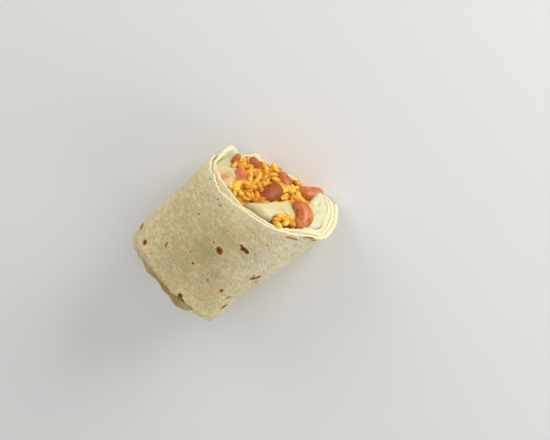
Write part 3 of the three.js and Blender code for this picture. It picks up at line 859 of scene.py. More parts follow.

# %% [markdown]
# ## Melted cheese
#
# Cheese that melts between rice and tortilla sets as smooth, thick tongues with rounded edges, and it
# clings to whatever it touches. Each tongue is a pad on the cut. Its outline is drawn through given
# corners, its front is a soft dome, and slow lumps keep it from looking cast.

# %% Shape the cheese
CHEESE_DEPTH = 6.0


def cheese_front(follow, rise, edge, seed):
    """Height = follow mound + edge + (rise + lobe) (1 - share^6)^0.5 + lumps, for a soft, thick
    tongue. The lobe laps up over the bean at the right."""

    def front(y, z, share):
        swell = (1 - np.clip(share, 0, 1) ** 6) ** 0.5
        lobe = 5.6 * bell(y + 19.4, 3.4) * bell(z + 12.8, 4.0)
        height = mound_height(y, z) * follow + edge + (rise + lobe) * swell
        flat = np.stack([y, z, 0 * y + seed * 9.0], -1)
        uneven = 0.4 * mixed_lumps(flat, 7, 70 + seed) + 0.15 * lumps(flat, 2.2, 80 + seed)
        return on_cut(y, z, height + uneven * swell)

    return front


def cheese_back(y, z, share):
    """The hidden back of a tongue, deep in the filling."""
    return on_cut(y, z, mound_height(y, z) - CHEESE_DEPTH)


def cheese_stain(points):
    """Where spiced sauce has run into the cheese: one patch, with an edge broken up by noise."""
    y, z = points[:, 1], points[:, 2]
    patch = bell(y - 22.4, 3.4) * bell(z - 12.6, 4.4)
    return np.clip(0.85 * patch * (1 + 0.7 * lumps(points, 2.2, 93)), 0, 1)


def kept_inside(outline):
    """Places beyond the wall of the filling, drawn back until they only just reach into it."""
    beyond = np.maximum(1, cut_share(outline[:, 0], outline[:, 1]) / 1.02)
    return outline / beyond[:, None]


# %% Lay the cheese
# Each tongue: the corners of its outline and its middle as y and z, how far it follows the
# mound, its rise in the middle and at the edge, and how white it is.
CHEESE = {
    "cheese_band": {
        "corners": [
            (3.4, 21.6), (0.6, 18.0), (-0.8, 16.4), (-3.8, 12.9), (-5.9, 9.3), (-8.2, 6.3),
            (-9.2, 3.2), (-10.7, 0.5), (-13.7, 1.5), (-16.8, 4.8), (-18.6, 8.6), (-19.0, 11.6),
            (-17.1, 12.1), (-15.0, 12.5), (-12.1, 16.1), (-10.8, 18.8), (-12.2, 23.0),
            (-8.5, 24.5), (-3.0, 25.0), (1.4, 24.5),
        ],
        "middle": (-8.0, 13.4),
        "follow": 0.35,
        "rise": 2.0,
        "edge": 1.5,
        "white": 0.25,
    },
    "cheese_side": {
        "corners": [
            (-17.6, -6.0), (-17.3, -9.1), (-17.0, -12.4), (-17.9, -15.4), (-20.8, -17.0),
            (-24.0, -16.0), (-28.0, -12.0), (-31.5, -4.2), (-32.0, 3.4), (-31.0, 10.0),
            (-27.5, 14.0), (-25.1, 11.4), (-23.6, 6.6), (-21.2, 1.4), (-18.4, -1.8),
        ],
        "middle": (-24.6, -4.6),
        "follow": 0.6,
        "rise": 3.0,
        "edge": 0.5,
        "white": 0.9,
    },
    "cheese_left": {
        "corners": [
            (14.6, 18.8), (15.6, 15.2), (17.0, 10.1), (17.4, 5.7), (19.9, 0.7), (22.5, -1.9),
            (23.6, -4.0), (22.8, -10.0), (24.6, -14.0), (28.0, -15.0), (32.0, -11.0),
            (33.5, -4.0), (32.5, 3.0), (29.5, 10.0), (24.0, 15.5), (19.4, 19.4),
        ],
        "middle": (24.4, 2.0),
        "follow": 0.75,
        "rise": 1.0,
        "edge": 0.6,
        "white": 0.4,
    },
}


def make_cheese(name, seed, spec):
    """One tongue: a pad whose outline is the smooth loop through its corners."""
    return pad(
        f"melted_{name}",
        kept_inside(smooth_loop(spec["corners"])),
        spec["middle"],
        cheese_front(spec["follow"], spec["rise"], spec["edge"], seed),
        cheese_back,
        {"white": lambda points: np.full(len(points), spec["white"]), "stain": cheese_stain},
    )


cheese = [make_cheese(name, seed, spec) for seed, (name, spec) in enumerate(CHEESE.items(), start=1)]

# %% [markdown]
# ## The rice
#
# Rice in a burrito is a heap of separate grains stuck together with spiced tomato. Dozens of
# grains show, so each has only a few faces, and all of them are one joined mesh. They lie on a
# bed with bumps as wide as a grain, which fills the roll down to the tucked end.

# %% Make the bed
BED_TINT = 0.55
BED_RISE = 0.2
BED_BACK = TUCK_INNER_X + CORE_CLEARANCE
WALL_START, DEEP_INSIDE = 2, 40  # mm from the cut


def rice_bed():
    """Rings from the middle of the cut out to the wall, then back along the wall to the tuck."""
    shares = np.sin(np.linspace(0.02, 1, 60) * np.pi / 2)[:, None]
    y, z = shares * core_y, shares * core_z
    places = np.stack([y, z, 0 * y], -1)
    bumps = 0.9 * lumps(places, 2.6, 91) + 0.4 * lumps(places, 1.1, 92)
    face = on_cut(y, z, mound_height(y, z) + BED_RISE + bumps)
    reach = cut_x(*inset_point(edge_angles, 0.0, core_depth(edge_angles, DEEP_INSIDE)))
    steps = np.linspace(0.03, 1, 24)[:, None]
    x = reach - WALL_START + (BED_BACK - reach + WALL_START) * steps
    depth = core_depth(edge_angles, reach - x)
    y, z = inset_point(edge_angles, x, depth)
    wall = np.stack([x, y, rested(x, y, z, depth, edge_angles)], -1)
    return np.concatenate([face, wall])


bed_points, bed_faces = closed_tube(rice_bed())
bed_tint = np.full(len(bed_points), BED_TINT)
rice_bed_piece = add_mesh("rice_bed", bed_points, bed_faces, {"tint": bed_tint})

# %% [markdown]
# The heap is built as a real one is: grain by grain. A grain starts on the bed at its spot and
# is lifted in small steps until it touches nothing. If that takes too long it is left out. Five
# points along each grain are enough to measure how near two grains come.

# %% Set out the grains
GRAIN_LENGTH, GRAIN_WIDTH = 8.0, 3.2
GRAIN_SPOTS = 4200
SPOT_STEP = 0.754877666  # one over the root of x^3 = x + 1, which spreads the spots evenly
HEADING_STEP = np.pi * (3 - np.sqrt(5))  # the golden angle, for the same reason
GRAIN_POINTS = np.linspace(-0.4, 0.4, 5)[:, None]
START_DEPTH, LIFT_STEP, MOST_LIFT = 1.0, 0.35, 2.8
WIDEST_SPOT, WIDEST_POINT = 0.95, 0.97  # shares of the way to the wall
GRAIN_NEARNESS, BEAN_ROOM = 0.48, 0.7  # in widths of a grain, and in mm
print("spots tried:", GRAIN_SPOTS, "heights tried at each:", round(MOST_LIFT / LIFT_STEP))

# %% Lay the listed first grains
# The grains that show best come first: y, z, height, heading, tip and length.
FIRST_GRAINS = [
    (13.7, 13.1, 2.2, 77, -30, 8.8),
    (12.2, 16.2, 1.6, 103, -8, 8.0),
    (7.8, 12.8, 2.8, 170, -2, 9.2),
    (4.3, 17.4, 2.2, -152, -8, 8.2),
    (1.9, 12.7, 2.8, 136, -15, 8.4),
    (11.9, 3.7, 3.4, 120, -15, 8.2),
    (8.3, 4.0, 3.9, 97, -30, 10.0),
    (5.6, 3.1, 4.4, 96, -23, 8.2),
    (12.1, -5.0, 3.0, 80, 2, 8.2),
    (9.2, -9.4, 3.4, 131, -4, 8.6),
    (8.2, -16.3, 3.4, 134, 8, 8.2),
    (5.4, -8.6, 4.6, -115, -21, 7.8),
    (2.6, -5.4, 5.0, -112, -26, 7.6),
    (-5.1, -4.2, 4.4, -98, -4, 8.2),
    (-7.4, 1.2, 4.0, -100, -8, 7.6),
    (-8.2, -7.2, 4.4, -95, 6, 8.4),
    (23.2, -1.8, 1.6, -93, -7, 7.6),
    (21.2, -4.6, 2.2, 137, -6, 8.2),
    (20.6, -12.4, 1.0, 117, 9, 8.0),
    (-13.8, 17.6, 2.0, -118, -10, 8.0),
    (-14.0, 14.4, 2.7, -113, -8, 8.0),
    (-16.6, 14.2, 2.8, -106, -8, 8.0),
    (-17.8, 16.2, 1.9, -105, -10, 7.6),
    (-19.4, 13.8, 2.3, 127, 10, 7.6),
    (-16.6, 11.4, 2.6, 126, 16, 7.4),
    (-14.6, 19.8, 0.9, 160, 4, 7.0),
]
print("grains laid by hand:", len(FIRST_GRAINS))

# %% [markdown]
# A bean or a tongue of cheese with a grain across it would lose its shape to the eye. So no
# dropped grain may lie on the cheese, come too near to a bean, or lie in front of its middle as
# seen from above the cut.

# %% Keep the beans and the cheese clear
SEEN_FROM = np.array([0.39, 0.0, 0.92])
BEAN_IN_SIGHT = 5.6
bean_frames = [bean_frame(spec) for spec in BEANS]
# Places where no grain is dropped: the cheese, and three spots beside beans and cheese.
bare_loops = [smooth_loop(spec["corners"], 60) for spec in CHEESE.values()] + [
    np.array([(1.3, 10.3), (-7.0, 1.5), (-9.5, 6.5), (-2.5, 15.5)]),
    np.array([(-20.2, 10.0), (-27.0, 8.0), (-27.0, 16.0), (-20.8, 18.0)]),
    np.array([(21.5, -13.0), (25.0, -18.0), (21.0, -23.0), (14.5, -19.5), (17.0, -15.5)]),
]
print("places where no grain is dropped:", len(bare_loops))


def inside_loop(y, z, loop):
    """Whether a place is inside a closed curve: the angles to its points add up to a full turn."""
    angle = np.arctan2(loop[:, 1] - z, loop[:, 0] - y)
    step = np.mod(np.diff(np.append(angle, angle[0])) + np.pi, FULL_TURN) - np.pi
    return abs(step.sum()) > FULL_TURN / 2


def meets_bean(points, room):
    """Whether a point comes within room mm of a bean, taken as an oval round its own axes."""
    for centre, axes, half in bean_frames:
        scaled = ((points - centre) @ axes.T) / (half + room)
        if np.min(np.sum(scaled**2, axis=1)) < 1:
            return True
    return False


def hides_bean(point):
    """Whether a point lies before a bean's middle: less than BEAN_IN_SIGHT mm beside the line of
    sight to it, and nearer to the eye."""
    for centre, _, _ in bean_frames:
        off = point - centre
        ahead = off @ SEEN_FROM
        if ahead > 0 and np.linalg.norm(off - ahead * SEEN_FROM) < BEAN_IN_SIGHT:
            return True
    return False


# %% Find room for a grain
def spot_on_cut(k):
    """The k-th spot: its heading goes on by the golden angle, and its share of the way to the
    wall is the root of an even spread, so that every part of the cut gets as many."""
    share = np.sqrt(np.mod(k * SPOT_STEP, 1.0)) * WIDEST_SPOT
    heading = HEADING_STEP * k
    wall = np.interp(
        np.mod(heading, FULL_TURN), np.mod(core_heading, FULL_TURN), core_reach, period=FULL_TURN
    )
    return share * wall * np.cos(heading), share * wall * np.sin(heading)


def find_room(y, z, axis, length, width, laid):
    """The five points of a grain at the lowest height where it touches nothing, or None."""
    spread = GRAIN_POINTS * length * axis
    start = mound_height(y, z) - START_DEPTH
    for lift in np.arange(0, MOST_LIFT, LIFT_STEP):
        line = on_cut(y, z, start + lift) + spread
        if np.max(cut_share(line[:, 1], line[:, 2])) > WIDEST_POINT:
            return None
        near = np.min(np.linalg.norm(laid[None] - line[:, None], axis=2))
        free = near > GRAIN_NEARNESS * width and not meets_bean(line, BEAN_ROOM)
        if free and not hides_bean(line[2]):
            return line
    return None


# %% Drop the grains
def drop_grains():
    """Centre, three axes, length, width and tint for each grain: first the ones laid by hand,
    then one for each spot that has room."""
    rng = np.random.default_rng(5)
    laid = np.zeros((0, 3))
    grains = []
    for y, z, height, heading, tip, length in FIRST_GRAINS:
        axes = turned(heading, tip)
        line = on_cut(y, z, height) + GRAIN_POINTS * length * axes[0]
        laid = np.concatenate([laid, line])
        grains.append((line[2], axes, length, 1.05 * GRAIN_WIDTH, rng.uniform(0.4, 1.0)))
    for k in range(GRAIN_SPOTS):
        y, z = spot_on_cut(k)
        heading, tip, roll = rng.uniform(0, 180), rng.normal(0, 18), rng.uniform(0, 180)
        length = GRAIN_LENGTH * rng.uniform(0.86, 1.16)
        width = GRAIN_WIDTH * rng.uniform(0.9, 1.1)
        tint = rng.random()
        if any(inside_loop(y, z, loop) for loop in bare_loops):
            continue
        axes = turned(heading, tip, roll)
        line = find_room(y, z, axes[0], length, width, laid)
        if line is not None:
            laid = np.concatenate([laid, line])
            grains.append((line[2], axes, length, width, tint))
    return grains


grains = drop_grains()
print("grains in the heap:", len(grains))

# %% [markdown]
# One grain is a blunt spindle, a little flatter than it is wide and a little bent. The same
# rings are turned and placed for all grains in one array product.

# %% Join the grains
GRAIN_RINGS, GRAIN_AROUND = 8, 8
GRAIN_FLATNESS = 0.88


def grain_template():
    """Rings of a straight spindle: radius (1 - |t|^4.5)^0.5, blunter at one end. The bend by 0.05 t^2
    is added when the grains are joined.
    """
    t = np.sin(np.linspace(-0.46, 0.46, GRAIN_RINGS) * np.pi)[:, None]
    around = np.linspace(0, FULL_TURN, GRAIN_AROUND, endpoint=False)[None, :]
    radius = (1 - np.abs(t) ** 4.5) ** 0.5 * (1 + 0.1 * t)
    rings = np.stack([t + 0 * around, radius * np.cos(around), radius * np.sin(around)], -1)
    return closed_tube(rings)


def join_grains(name, grains):
    """All grains as one mesh: point = centre + (template times size) times axes, where noise
    makes each a little thicker here and thinner there."""
    template, faces = grain_template()
    centres, axes, lengths, widths, tints = map(np.array, zip(*grains))
    sizes = np.stack([lengths / 2, widths / 2, widths / 2 * GRAIN_FLATNESS], -1)
    local = template[None] * sizes[:, None]
    uneven = lumps(local + 5 * centres[:, None], 2.0, 95)
    local[..., 1:] *= 1 + 0.24 * uneven[..., None]
    local[..., 1] += 0.05 * sizes[:, :1] * template[None, :, 0] ** 2
    points = centres[:, None] + np.einsum("gpi,gij->gpj", local, axes)
    shift = np.arange(len(grains))[:, None, None] * len(template)
    joined = [(block[None] + shift).reshape(-1, block.shape[1]) for block in faces]
    return add_mesh(name, points.reshape(-1, 3), joined, {"tint": np.repeat(tints, len(template))})


rice_grains = join_grains("rice_grains", grains)

# %% [markdown]
# ## Shader helpers
#
# Materials here are built from Object coordinates in millimetres and from the values kept on
# the points. Two effects come back in every food: soft mottling, and fine relief for the
# light to catch. Each is a node group that is built once and placed with its own values.

# %% Write the node helpers
VECTOR, FLOAT = "NodeSocketVector", "NodeSocketFloat"


def set_sockets(tree, made, values):
    """Each named input is linked, when its value is a socket, and is set to the value otherwise."""
    for key, value in values.items():
        if isinstance(value, bpy.types.NodeSocket):
            tree.links.new(value, made.inputs[key])
        else:
            made.inputs[key].default_value = value


def node(tree, kind, inputs=None, **settings):
    """Adds a node with its settings and its inputs."""
    made = tree.nodes.new(kind)
    for key, value in settings.items():
        setattr(made, key, value)
    set_sockets(tree, made, inputs or {})
    return made


def mix(tree, factor, first, second):
    """A colour between two others. Inputs 6 and 7 of the node are its colours, and output 2 is
    the colour that comes out."""
    return node(tree, "ShaderNodeMix", {0: factor, 6: first, 7: second}, data_type="RGBA").outputs[2]


def math(tree, operation, first, second=0.0):
    """One step of arithmetic on two values."""
    return node(tree, "ShaderNodeMath", {0: first, 1: second}, operation=operation).outputs[0]


def times(tree, first, second):
    """The product of two values."""
    return math(tree, "MULTIPLY", first, second)


def step_up(tree, value, low, high):
    """0 below low, 1 above high and a soft rise between."""
    inputs = {"Value": value, "From Min": low, "From Max": high}
    return node(tree, "ShaderNodeMapRange", inputs, interpolation_type="SMOOTHSTEP").outputs[0]


def vector_math(tree, operation, first, second):
    """One step of arithmetic on two vectors."""
    return node(tree, "ShaderNodeVectorMath", {0: first, 1: second}, operation=operation).outputs[0]


def noise(tree, place, scale, detail):
    """The renderer's own noise, with bumps of about one over the scale."""
    inputs = {"Vector": place, "Scale": scale, "Detail": detail}
    return node(tree, "ShaderNodeTexNoise", inputs).outputs[0]


def new_group(name, inputs, outputs):
    """An empty node group with named sockets, each given as a name and a kind."""
    group = bpy.data.node_groups.new(name, "ShaderNodeTree")
    for label, kind in inputs:
        group.interface.new_socket(label, in_out="INPUT", socket_type=kind)
    for label, kind in outputs:
        group.interface.new_socket(label, in_out="OUTPUT", socket_type=kind)
    given, result = group.nodes.new("NodeGroupInput"), group.nodes.new("NodeGroupOutput")
    return group, given.outputs, result


# %% Build the mottle group
def build_mottle():
    """Soft patches: noise with bumps of the given size, stretched to use the whole of 0 to 1."""
    inputs = [("Place", VECTOR), ("Size", FLOAT), ("Detail", FLOAT)]
    group, given, result = new_group("mottle", inputs, [("Value", FLOAT)])
    scale = math(group, "DIVIDE", 1.0, given["Size"])
    patches = step_up(group, noise(group, given["Place"], scale, given["Detail"]), 0.3, 0.7)
    set_sockets(group, result, {"Value": patches})
    return group


# %% Build the relief group
FINER, FINE_STRENGTH = 0.35, 0.4


def build_relief():
    """A normal bent by two sizes of noise: bumps of the given size, and finer ones at 0.35 of it
    that are 0.4 as high."""
    inputs = [("Place", VECTOR), ("Size", FLOAT), ("Depth", FLOAT)]
    group, given, result = new_group("fine_relief", inputs, [("Normal", VECTOR)])
    scale = math(group, "DIVIDE", 1.0, given["Size"])
    coarse = noise(group, given["Place"], scale, 2.0)
    fine = noise(group, given["Place"], math(group, "DIVIDE", scale, FINER), 3.0)
    height = math(group, "ADD", coarse, times(group, fine, FINE_STRENGTH))
    depth = times(group, given["Depth"], 1 / MM_PER_METRE)
    bump = node(group, "ShaderNodeBump", {"Strength": 1.0, "Distance": depth, "Height": height})
    set_sockets(group, result, {"Normal": bump.outputs[0]})
    return group


MOTTLE, RELIEF = build_mottle(), build_relief()
print("node groups:", MOTTLE.name, "and", RELIEF.name)


# %% Write the pattern helpers
def in_millimetres(tree):
    """Object coordinates in millimetres."""
    place = node(tree, "ShaderNodeTexCoord").outputs["Object"]
    inputs = {0: place, "Scale": MM_PER_METRE}
    return node(tree, "ShaderNodeVectorMath", inputs, operation="SCALE").outputs[0]


def placed(tree, group, inputs):
    """Places a group and gives back its one output."""
    return node(tree, "ShaderNodeGroup", inputs, node_tree=group).outputs[0]


def mottled(tree, place, size, detail=3.0):
    """Soft patches of a size in mm."""
    return placed(tree, MOTTLE, {"Place": place, "Size": size, "Detail": detail})


def relief(tree, place, size, depth):
    """Fine bumps of a size and depth in mm."""
    return placed(tree, RELIEF, {"Place": place, "Size": size, "Depth": depth})


def point_value(tree, name):
    """A value kept on the points of the mesh."""
    return node(tree, "ShaderNodeAttribute", attribute_name=name).outputs["Fac"]


def laid_over(tree, ground, layers):
    """Colours laid over a ground one by one. Each layer is its mask, how well it covers where
    the mask is 1, and its colour."""
    color = ground
    for mask, cover, layer in layers:
        color = mix(tree, times(tree, mask, cover), color, layer)
    return color


def new_material(name):
    """A material and its Principled shader."""
    material = bpy.data.materials.new(name)
    material.use_nodes = True
    return material, material.node_tree, material.node_tree.nodes["Principled BSDF"]


def rgb(red, green, blue):
    """A colour with full alpha, from linear values."""
    return (red, green, blue, 1.0)


# %% [markdown]
# ## Flour tortilla
#
# Flour tortilla is matt and pale, with tan clouds where the griddle warmed it, floury white between
# them, and brown spots where a bubble touched the iron. Each spot is orange-tan at its rim and nearly
# black in the middle. The cut edge shows raw white dough, and the inside has drunk up moisture, so it
# is yellower. Light and shade are painted on it as well: shade on the top of the roll, its underside
# and fine creases, and light on one side, by the cut and on the inner face.

# %% Mix the tortilla
TORTILLA_CREAM = rgb(0.69, 0.58, 0.30)
TORTILLA_TAN = rgb(0.69, 0.47, 0.23)
TORTILLA_OLIVE = rgb(0.56, 0.52, 0.23)
TORTILLA_FLOUR = rgb(0.83, 0.76, 0.51)
# painted light: a paler band on the rim and the lining near the cut
TORTILLA_PAINTED_LIGHT = rgb(0.80, 0.71, 0.44)
TORTILLA_DOUGH = rgb(0.64, 0.57, 0.37)
# the inner face: yellower where it drank moisture, and painted lighter as if lit
TORTILLA_MOIST_AND_PAINTED_LIGHT = rgb(0.84, 0.83, 0.56)
# flour dust, and painted light on one side of the roll
TORTILLA_DUST_AND_PAINTED_LIGHT = rgb(0.82, 0.79, 0.64)
# painted shade for the top of the roll and its underside
TOP_AND_UNDER_PAINTED_SHADE = rgb(0.36, 0.28, 0.12)
# painted shade for fine creases, and the colour of specks and fine grain
FLECK_AND_CREASE_SHADE = rgb(0.38, 0.31, 0.15)
TOAST_HALO, TOAST_TAN = rgb(0.74, 0.55, 0.33), rgb(0.42, 0.21, 0.045)
TOAST_BROWN, TOAST_BLACK = rgb(0.18, 0.058, 0.006), rgb(0.065, 0.020, 0.004)
TOAST_GOLD = rgb(0.44, 0.27, 0.03)
DOT_TOAST = 0.7


def small_dots(tree, place):
    """Small toasted dots: DOT_TOAST at each dot's place on the outer layer, falling off round it."""
    strength = 0.0
    for degrees, x, radius in DOTS:
        angle = np.radians(degrees)
        spot = to_part([x, *inset_point(angle, x, PITCH * turns_at(angle))]) * MM_PER_METRE
        inputs = {0: place, 1: tuple(spot)}
        distance = node(tree, "ShaderNodeVectorMath", inputs, operation="DISTANCE").outputs["Value"]
        here = times(tree, step_up(tree, distance, 1.4 * radius, 0.4 * radius), DOT_TOAST)
        strength = math(tree, "MAXIMUM", strength, here)
    return strength


def toast_strength(tree, place, grain):
    """The toast kept on the points, made uneven by the grain, or a dot where that is stronger."""
    uneven = times(tree, math(tree, "SUBTRACT", grain, 0.5), 0.16)
    marks = math(tree, "ADD", point_value(tree, "toast"), uneven)
    return math(tree, "MAXIMUM", marks, small_dots(tree, place))


def patchy(tree, name, size, place, low, high):
    """A value kept on the points, weaker in some patches than in others."""
    return times(tree, point_value(tree, name), step_up(tree, mottled(tree, place, size), low, high))


def mix_tortilla():
    """Cream under tan and olive clouds, flour, painted shade on the top and the underside, flour dust
    with painted light on one side, painted crease shade and specks, painted light by the cut, and gold.
    Toast comes over them by its strength, from a pale halo to black. The inside, painted lighter, and
    the cut edge come last."""
    material, tree, shader = new_material("tortilla")
    place = in_millimetres(tree)
    elsewhere = vector_math(tree, "ADD", place, (70.0, 30.0, 50.0))
    round_roll = vector_math(tree, "MULTIPLY", place, (1.0, 0.12, 0.12))
    grain = mottled(tree, place, 0.9, 5.0)
    toast = toast_strength(tree, place, grain)
    layers = [
        (mottled(tree, place, 8), 0.85, TORTILLA_TAN),
        (mottled(tree, elsewhere, 6), 0.6, TORTILLA_OLIVE),
        (step_up(tree, mottled(tree, place, 2.4, 5.0), 0.3, 1.0), 0.62, TORTILLA_FLOUR),
        # painted shade in patches on the top of the roll and its underside
        (patchy(tree, "top_and_under_painted_shade", 12, elsewhere, -0.6, 1.0), 0.62, TOP_AND_UNDER_PAINTED_SHADE),
        # flour dust and painted light on one side of the roll
        (patchy(tree, "dust_and_painted_light", 3.5, place, -0.4, 1.0), 0.6, TORTILLA_DUST_AND_PAINTED_LIGHT),
        # painted shade along fine creases that run round the roll
        (step_up(tree, mottled(tree, round_roll, 1.6), 0.55, 1.0), 0.22, FLECK_AND_CREASE_SHADE),
        (grain, 0.25, FLECK_AND_CREASE_SHADE),
        (step_up(tree, mottled(tree, elsewhere, 1.5, 1.0), 0.93, 1.0), 0.55, FLECK_AND_CREASE_SHADE),
        # painted light in a band by the cut
        (point_value(tree, "painted_light_by_the_cut"), 0.75, TORTILLA_PAINTED_LIGHT),
        (patchy(tree, "gold", 3.0, place, -0.8, 0.6), 1.0, TOAST_GOLD),
        (step_up(tree, toast, 0.02, 0.16), 0.55, TOAST_HALO),
        (step_up(tree, toast, 0.2, 0.42), 1.0, TOAST_TAN),
        (step_up(tree, toast, 0.4, 0.62), 1.0, TOAST_BROWN),
        (step_up(tree, toast, 0.68, 0.98), 1.0, TOAST_BLACK),
        # the inner face, yellower and with painted light
        (step_up(tree, point_value(tree, "inside"), 0.5, 0.98), 1.0, TORTILLA_MOIST_AND_PAINTED_LIGHT),
        (step_up(tree, point_value(tree, "cut_edge"), 0.35, 0.9), 1.0, TORTILLA_DOUGH),
    ]
    finish = {
        "Base Color": laid_over(tree, TORTILLA_CREAM, layers),
        "Roughness": 0.72,
        "Specular IOR Level": 0.35,
        "Sheen Weight": 0.2,
        "Sheen Roughness": 0.45,
        "Subsurface Weight": 0.12,
        "Subsurface Radius": (1.0, 0.7, 0.4),
        "Subsurface Scale": 0.001,
        "Normal": relief(tree, place, 1.2, 0.4),
    }
    set_sockets(tree, shader, finish)
    return material


tortilla_material = mix_tortilla()
print("nodes in the tortilla's material:", len(tortilla_material.node_tree.nodes))

# %% [markdown]
# ## Beans
#
# The rest is moist. A cooked bean has a tight skin with a clear shine over a mottled red-brown,
# so a thin coat lies over the colours. A bean that has darkened in the sauce is covered by it
# and shines less.

# %% Mix the beans
BEAN_BROWN, BEAN_PINK = rgb(0.42, 0.098, 0.014), rgb(0.58, 0.175, 0.045)
BEAN_DARK = rgb(0.20, 0.036, 0.004)
DULL_ROUGHNESS, SHINE_SMOOTHING, SHINE_COAT = 0.56, 0.16, 0.2


def mix_bean():
    """Brown with pink patches and darker clouds. Shine = 1 - cooked, which lowers the roughness
    and strengthens the coat."""
    material, tree, shader = new_material("bean")
    place = in_millimetres(tree)
    cooked = point_value(tree, "cooked")
    shine = math(tree, "SUBTRACT", 1.0, cooked)
    layers = [
        (mottled(tree, place, 5.0), 1.0, BEAN_PINK),
        (step_up(tree, mottled(tree, place, 2.6, 4.0), 0.5, 1.0), 0.5, BEAN_DARK),
        (cooked, 1.0, BEAN_DARK),
    ]
    finish = {
        "Base Color": laid_over(tree, BEAN_BROWN, layers),
        "Roughness": math(tree, "SUBTRACT", DULL_ROUGHNESS, times(tree, shine, SHINE_SMOOTHING)),
        "Specular IOR Level": 0.28,
        "Subsurface Weight": 0.15,
        "Subsurface Radius": (1.0, 0.35, 0.15),
        "Subsurface Scale": 0.002,
        "Coat Weight": times(tree, shine, SHINE_COAT),
        "Coat Roughness": 0.2,
        "Normal": relief(tree, place, 1.8, 0.22),
    }
    set_sockets(tree, shader, finish)
    return material


bean_material = mix_bean()
print("nodes in the beans' material:", len(bean_material.node_tree.nodes))

# %% [markdown]
# ## Rice
#
# Rice grains let light in and take up the spice unevenly, so each has its own tint, which its points
# carry. The lightest grains get painted highlights in patches, and red clouds at random stand for
# spiced sauce and for painted shade in the gaps between grains.

# %% Mix the rice
RICE_ORANGE, RICE_YELLOW = rgb(0.55, 0.19, 0.002), rgb(0.78, 0.41, 0.02)
# painted highlights for the lightest grains, and a red for sauce and for painted shade between grains
RICE_PAINTED_HIGHLIGHT, RICE_SAUCE_AND_PAINTED_SHADE = rgb(0.90, 0.62, 0.13), rgb(0.30, 0.07, 0.002)


def mix_rice():
    """Orange to yellow by the grain's tint, then painted highlights in patches on the lightest grains,
    then red clouds of sauce and painted shade."""
    material, tree, shader = new_material("rice")
    place = in_millimetres(tree)
    tint = point_value(tree, "tint")
    layers = [
        (step_up(tree, tint, 0.1, 1.0), 1.0, RICE_YELLOW),
        # painted highlights in patches on the lightest grains
        (step_up(tree, tint, 0.35, 1.1), mottled(tree, place, 2.2), RICE_PAINTED_HIGHLIGHT),
        # red clouds at random: spiced sauce and painted shade for the gaps between grains
        (step_up(tree, mottled(tree, place, 2.8), 0.45, 1.0), 0.6, RICE_SAUCE_AND_PAINTED_SHADE),
    ]
    finish = {
        "Base Color": laid_over(tree, RICE_ORANGE, layers),
        "Roughness": 0.42,
        "Specular IOR Level": 0.25,
        "Subsurface Weight": 0.25,
        "Subsurface Radius": (1.0, 0.5, 0.15),
        "Subsurface Scale": 0.0015,
        "Coat Weight": 0.06,
        "Coat Roughness": 0.16,
        "Normal": relief(tree, place, 1.5, 0.4),
    }
    set_sockets(tree, shader, finish)
    return material


rice_material = mix_rice()
print("nodes in the rice's material:", len(rice_material.node_tree.nodes))

# %% [markdown]
# ## Cheese
#
# Melted cheese is the softest of all: light goes deep into it, and its shine is broad. It is
# never one colour. Fat makes whiter streaks, whey gathers in faintly green ones, and sauce
# stains it where it has run in.

# %% Mix the cheese
CHEESE_IVORY, CHEESE_CREAM = rgb(0.53, 0.41, 0.16), rgb(0.57, 0.48, 0.24)
CHEESE_WHITE, CHEESE_STAIN = rgb(0.57, 0.56, 0.40), rgb(0.52, 0.22, 0.06)
CHEESE_GREEN = rgb(0.46, 0.48, 0.22)


def mix_cheese():
    """Ivory with cream patches, then white and green by the piece's own whiteness, then stain."""
    material, tree, shader = new_material("cheese")
    place = in_millimetres(tree)
    elsewhere = vector_math(tree, "ADD", place, (31.0, 7.0, 19.0))
    white = point_value(tree, "white")
    whey = step_up(tree, mottled(tree, elsewhere, 4.0, 2.0), 0.55, 1.0)
    layers = [
        (mottled(tree, place, 7.0, 2.0), 1.0, CHEESE_CREAM),
        (white, step_up(tree, mottled(tree, place, 4.0), -0.2, 0.7), CHEESE_WHITE),
        (times(tree, whey, white), 0.4, CHEESE_GREEN),
        (point_value(tree, "stain"), 1.0, CHEESE_STAIN),
    ]
    finish = {
        "Base Color": laid_over(tree, CHEESE_IVORY, layers),
        "Roughness": 0.36,
        "Subsurface Weight": 0.6,
        "Subsurface Radius": (1.0, 0.8, 0.45),
        "Subsurface Scale": 0.004,
        "Normal": relief(tree, place, 2.4, 0.2),
    }
    set_sockets(tree, shader, finish)
    return material


cheese_material = mix_cheese()
print("nodes in the cheese's material:", len(cheese_material.node_tree.nodes))

# %% [markdown]
# ## Joining the pieces to the part
#
# Each piece gets its material and rides on the root body, and the solid it stands for is hidden.

# %% Dress the part
def dress(piece, replaced, material):
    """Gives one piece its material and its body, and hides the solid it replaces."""
    piece.data.materials.append(material)
    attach(piece, "root")
    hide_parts(replaced)


for piece in (tortilla_wrap, lower_flap, upper_flap):
    dress(piece, "tortilla", tortilla_material)
for number, piece in enumerate(beans, start=1):
    dress(piece, f"bean_{number}", bean_material)
for name, piece in zip(CHEESE, cheese):
    dress(piece, name, cheese_material)
for piece in (rice_bed_piece, rice_grains):
    dress(piece, "rice_filling", rice_material)
print("pieces dressed:", 3 + len(beans) + len(cheese) + 2)

# %% [markdown]
# ## Floor and camera
#
# A plain pale floor is enough. The camera looks down at 67 degrees, from far off through a long
# lens, and is turned so that the roll points up and to the right.

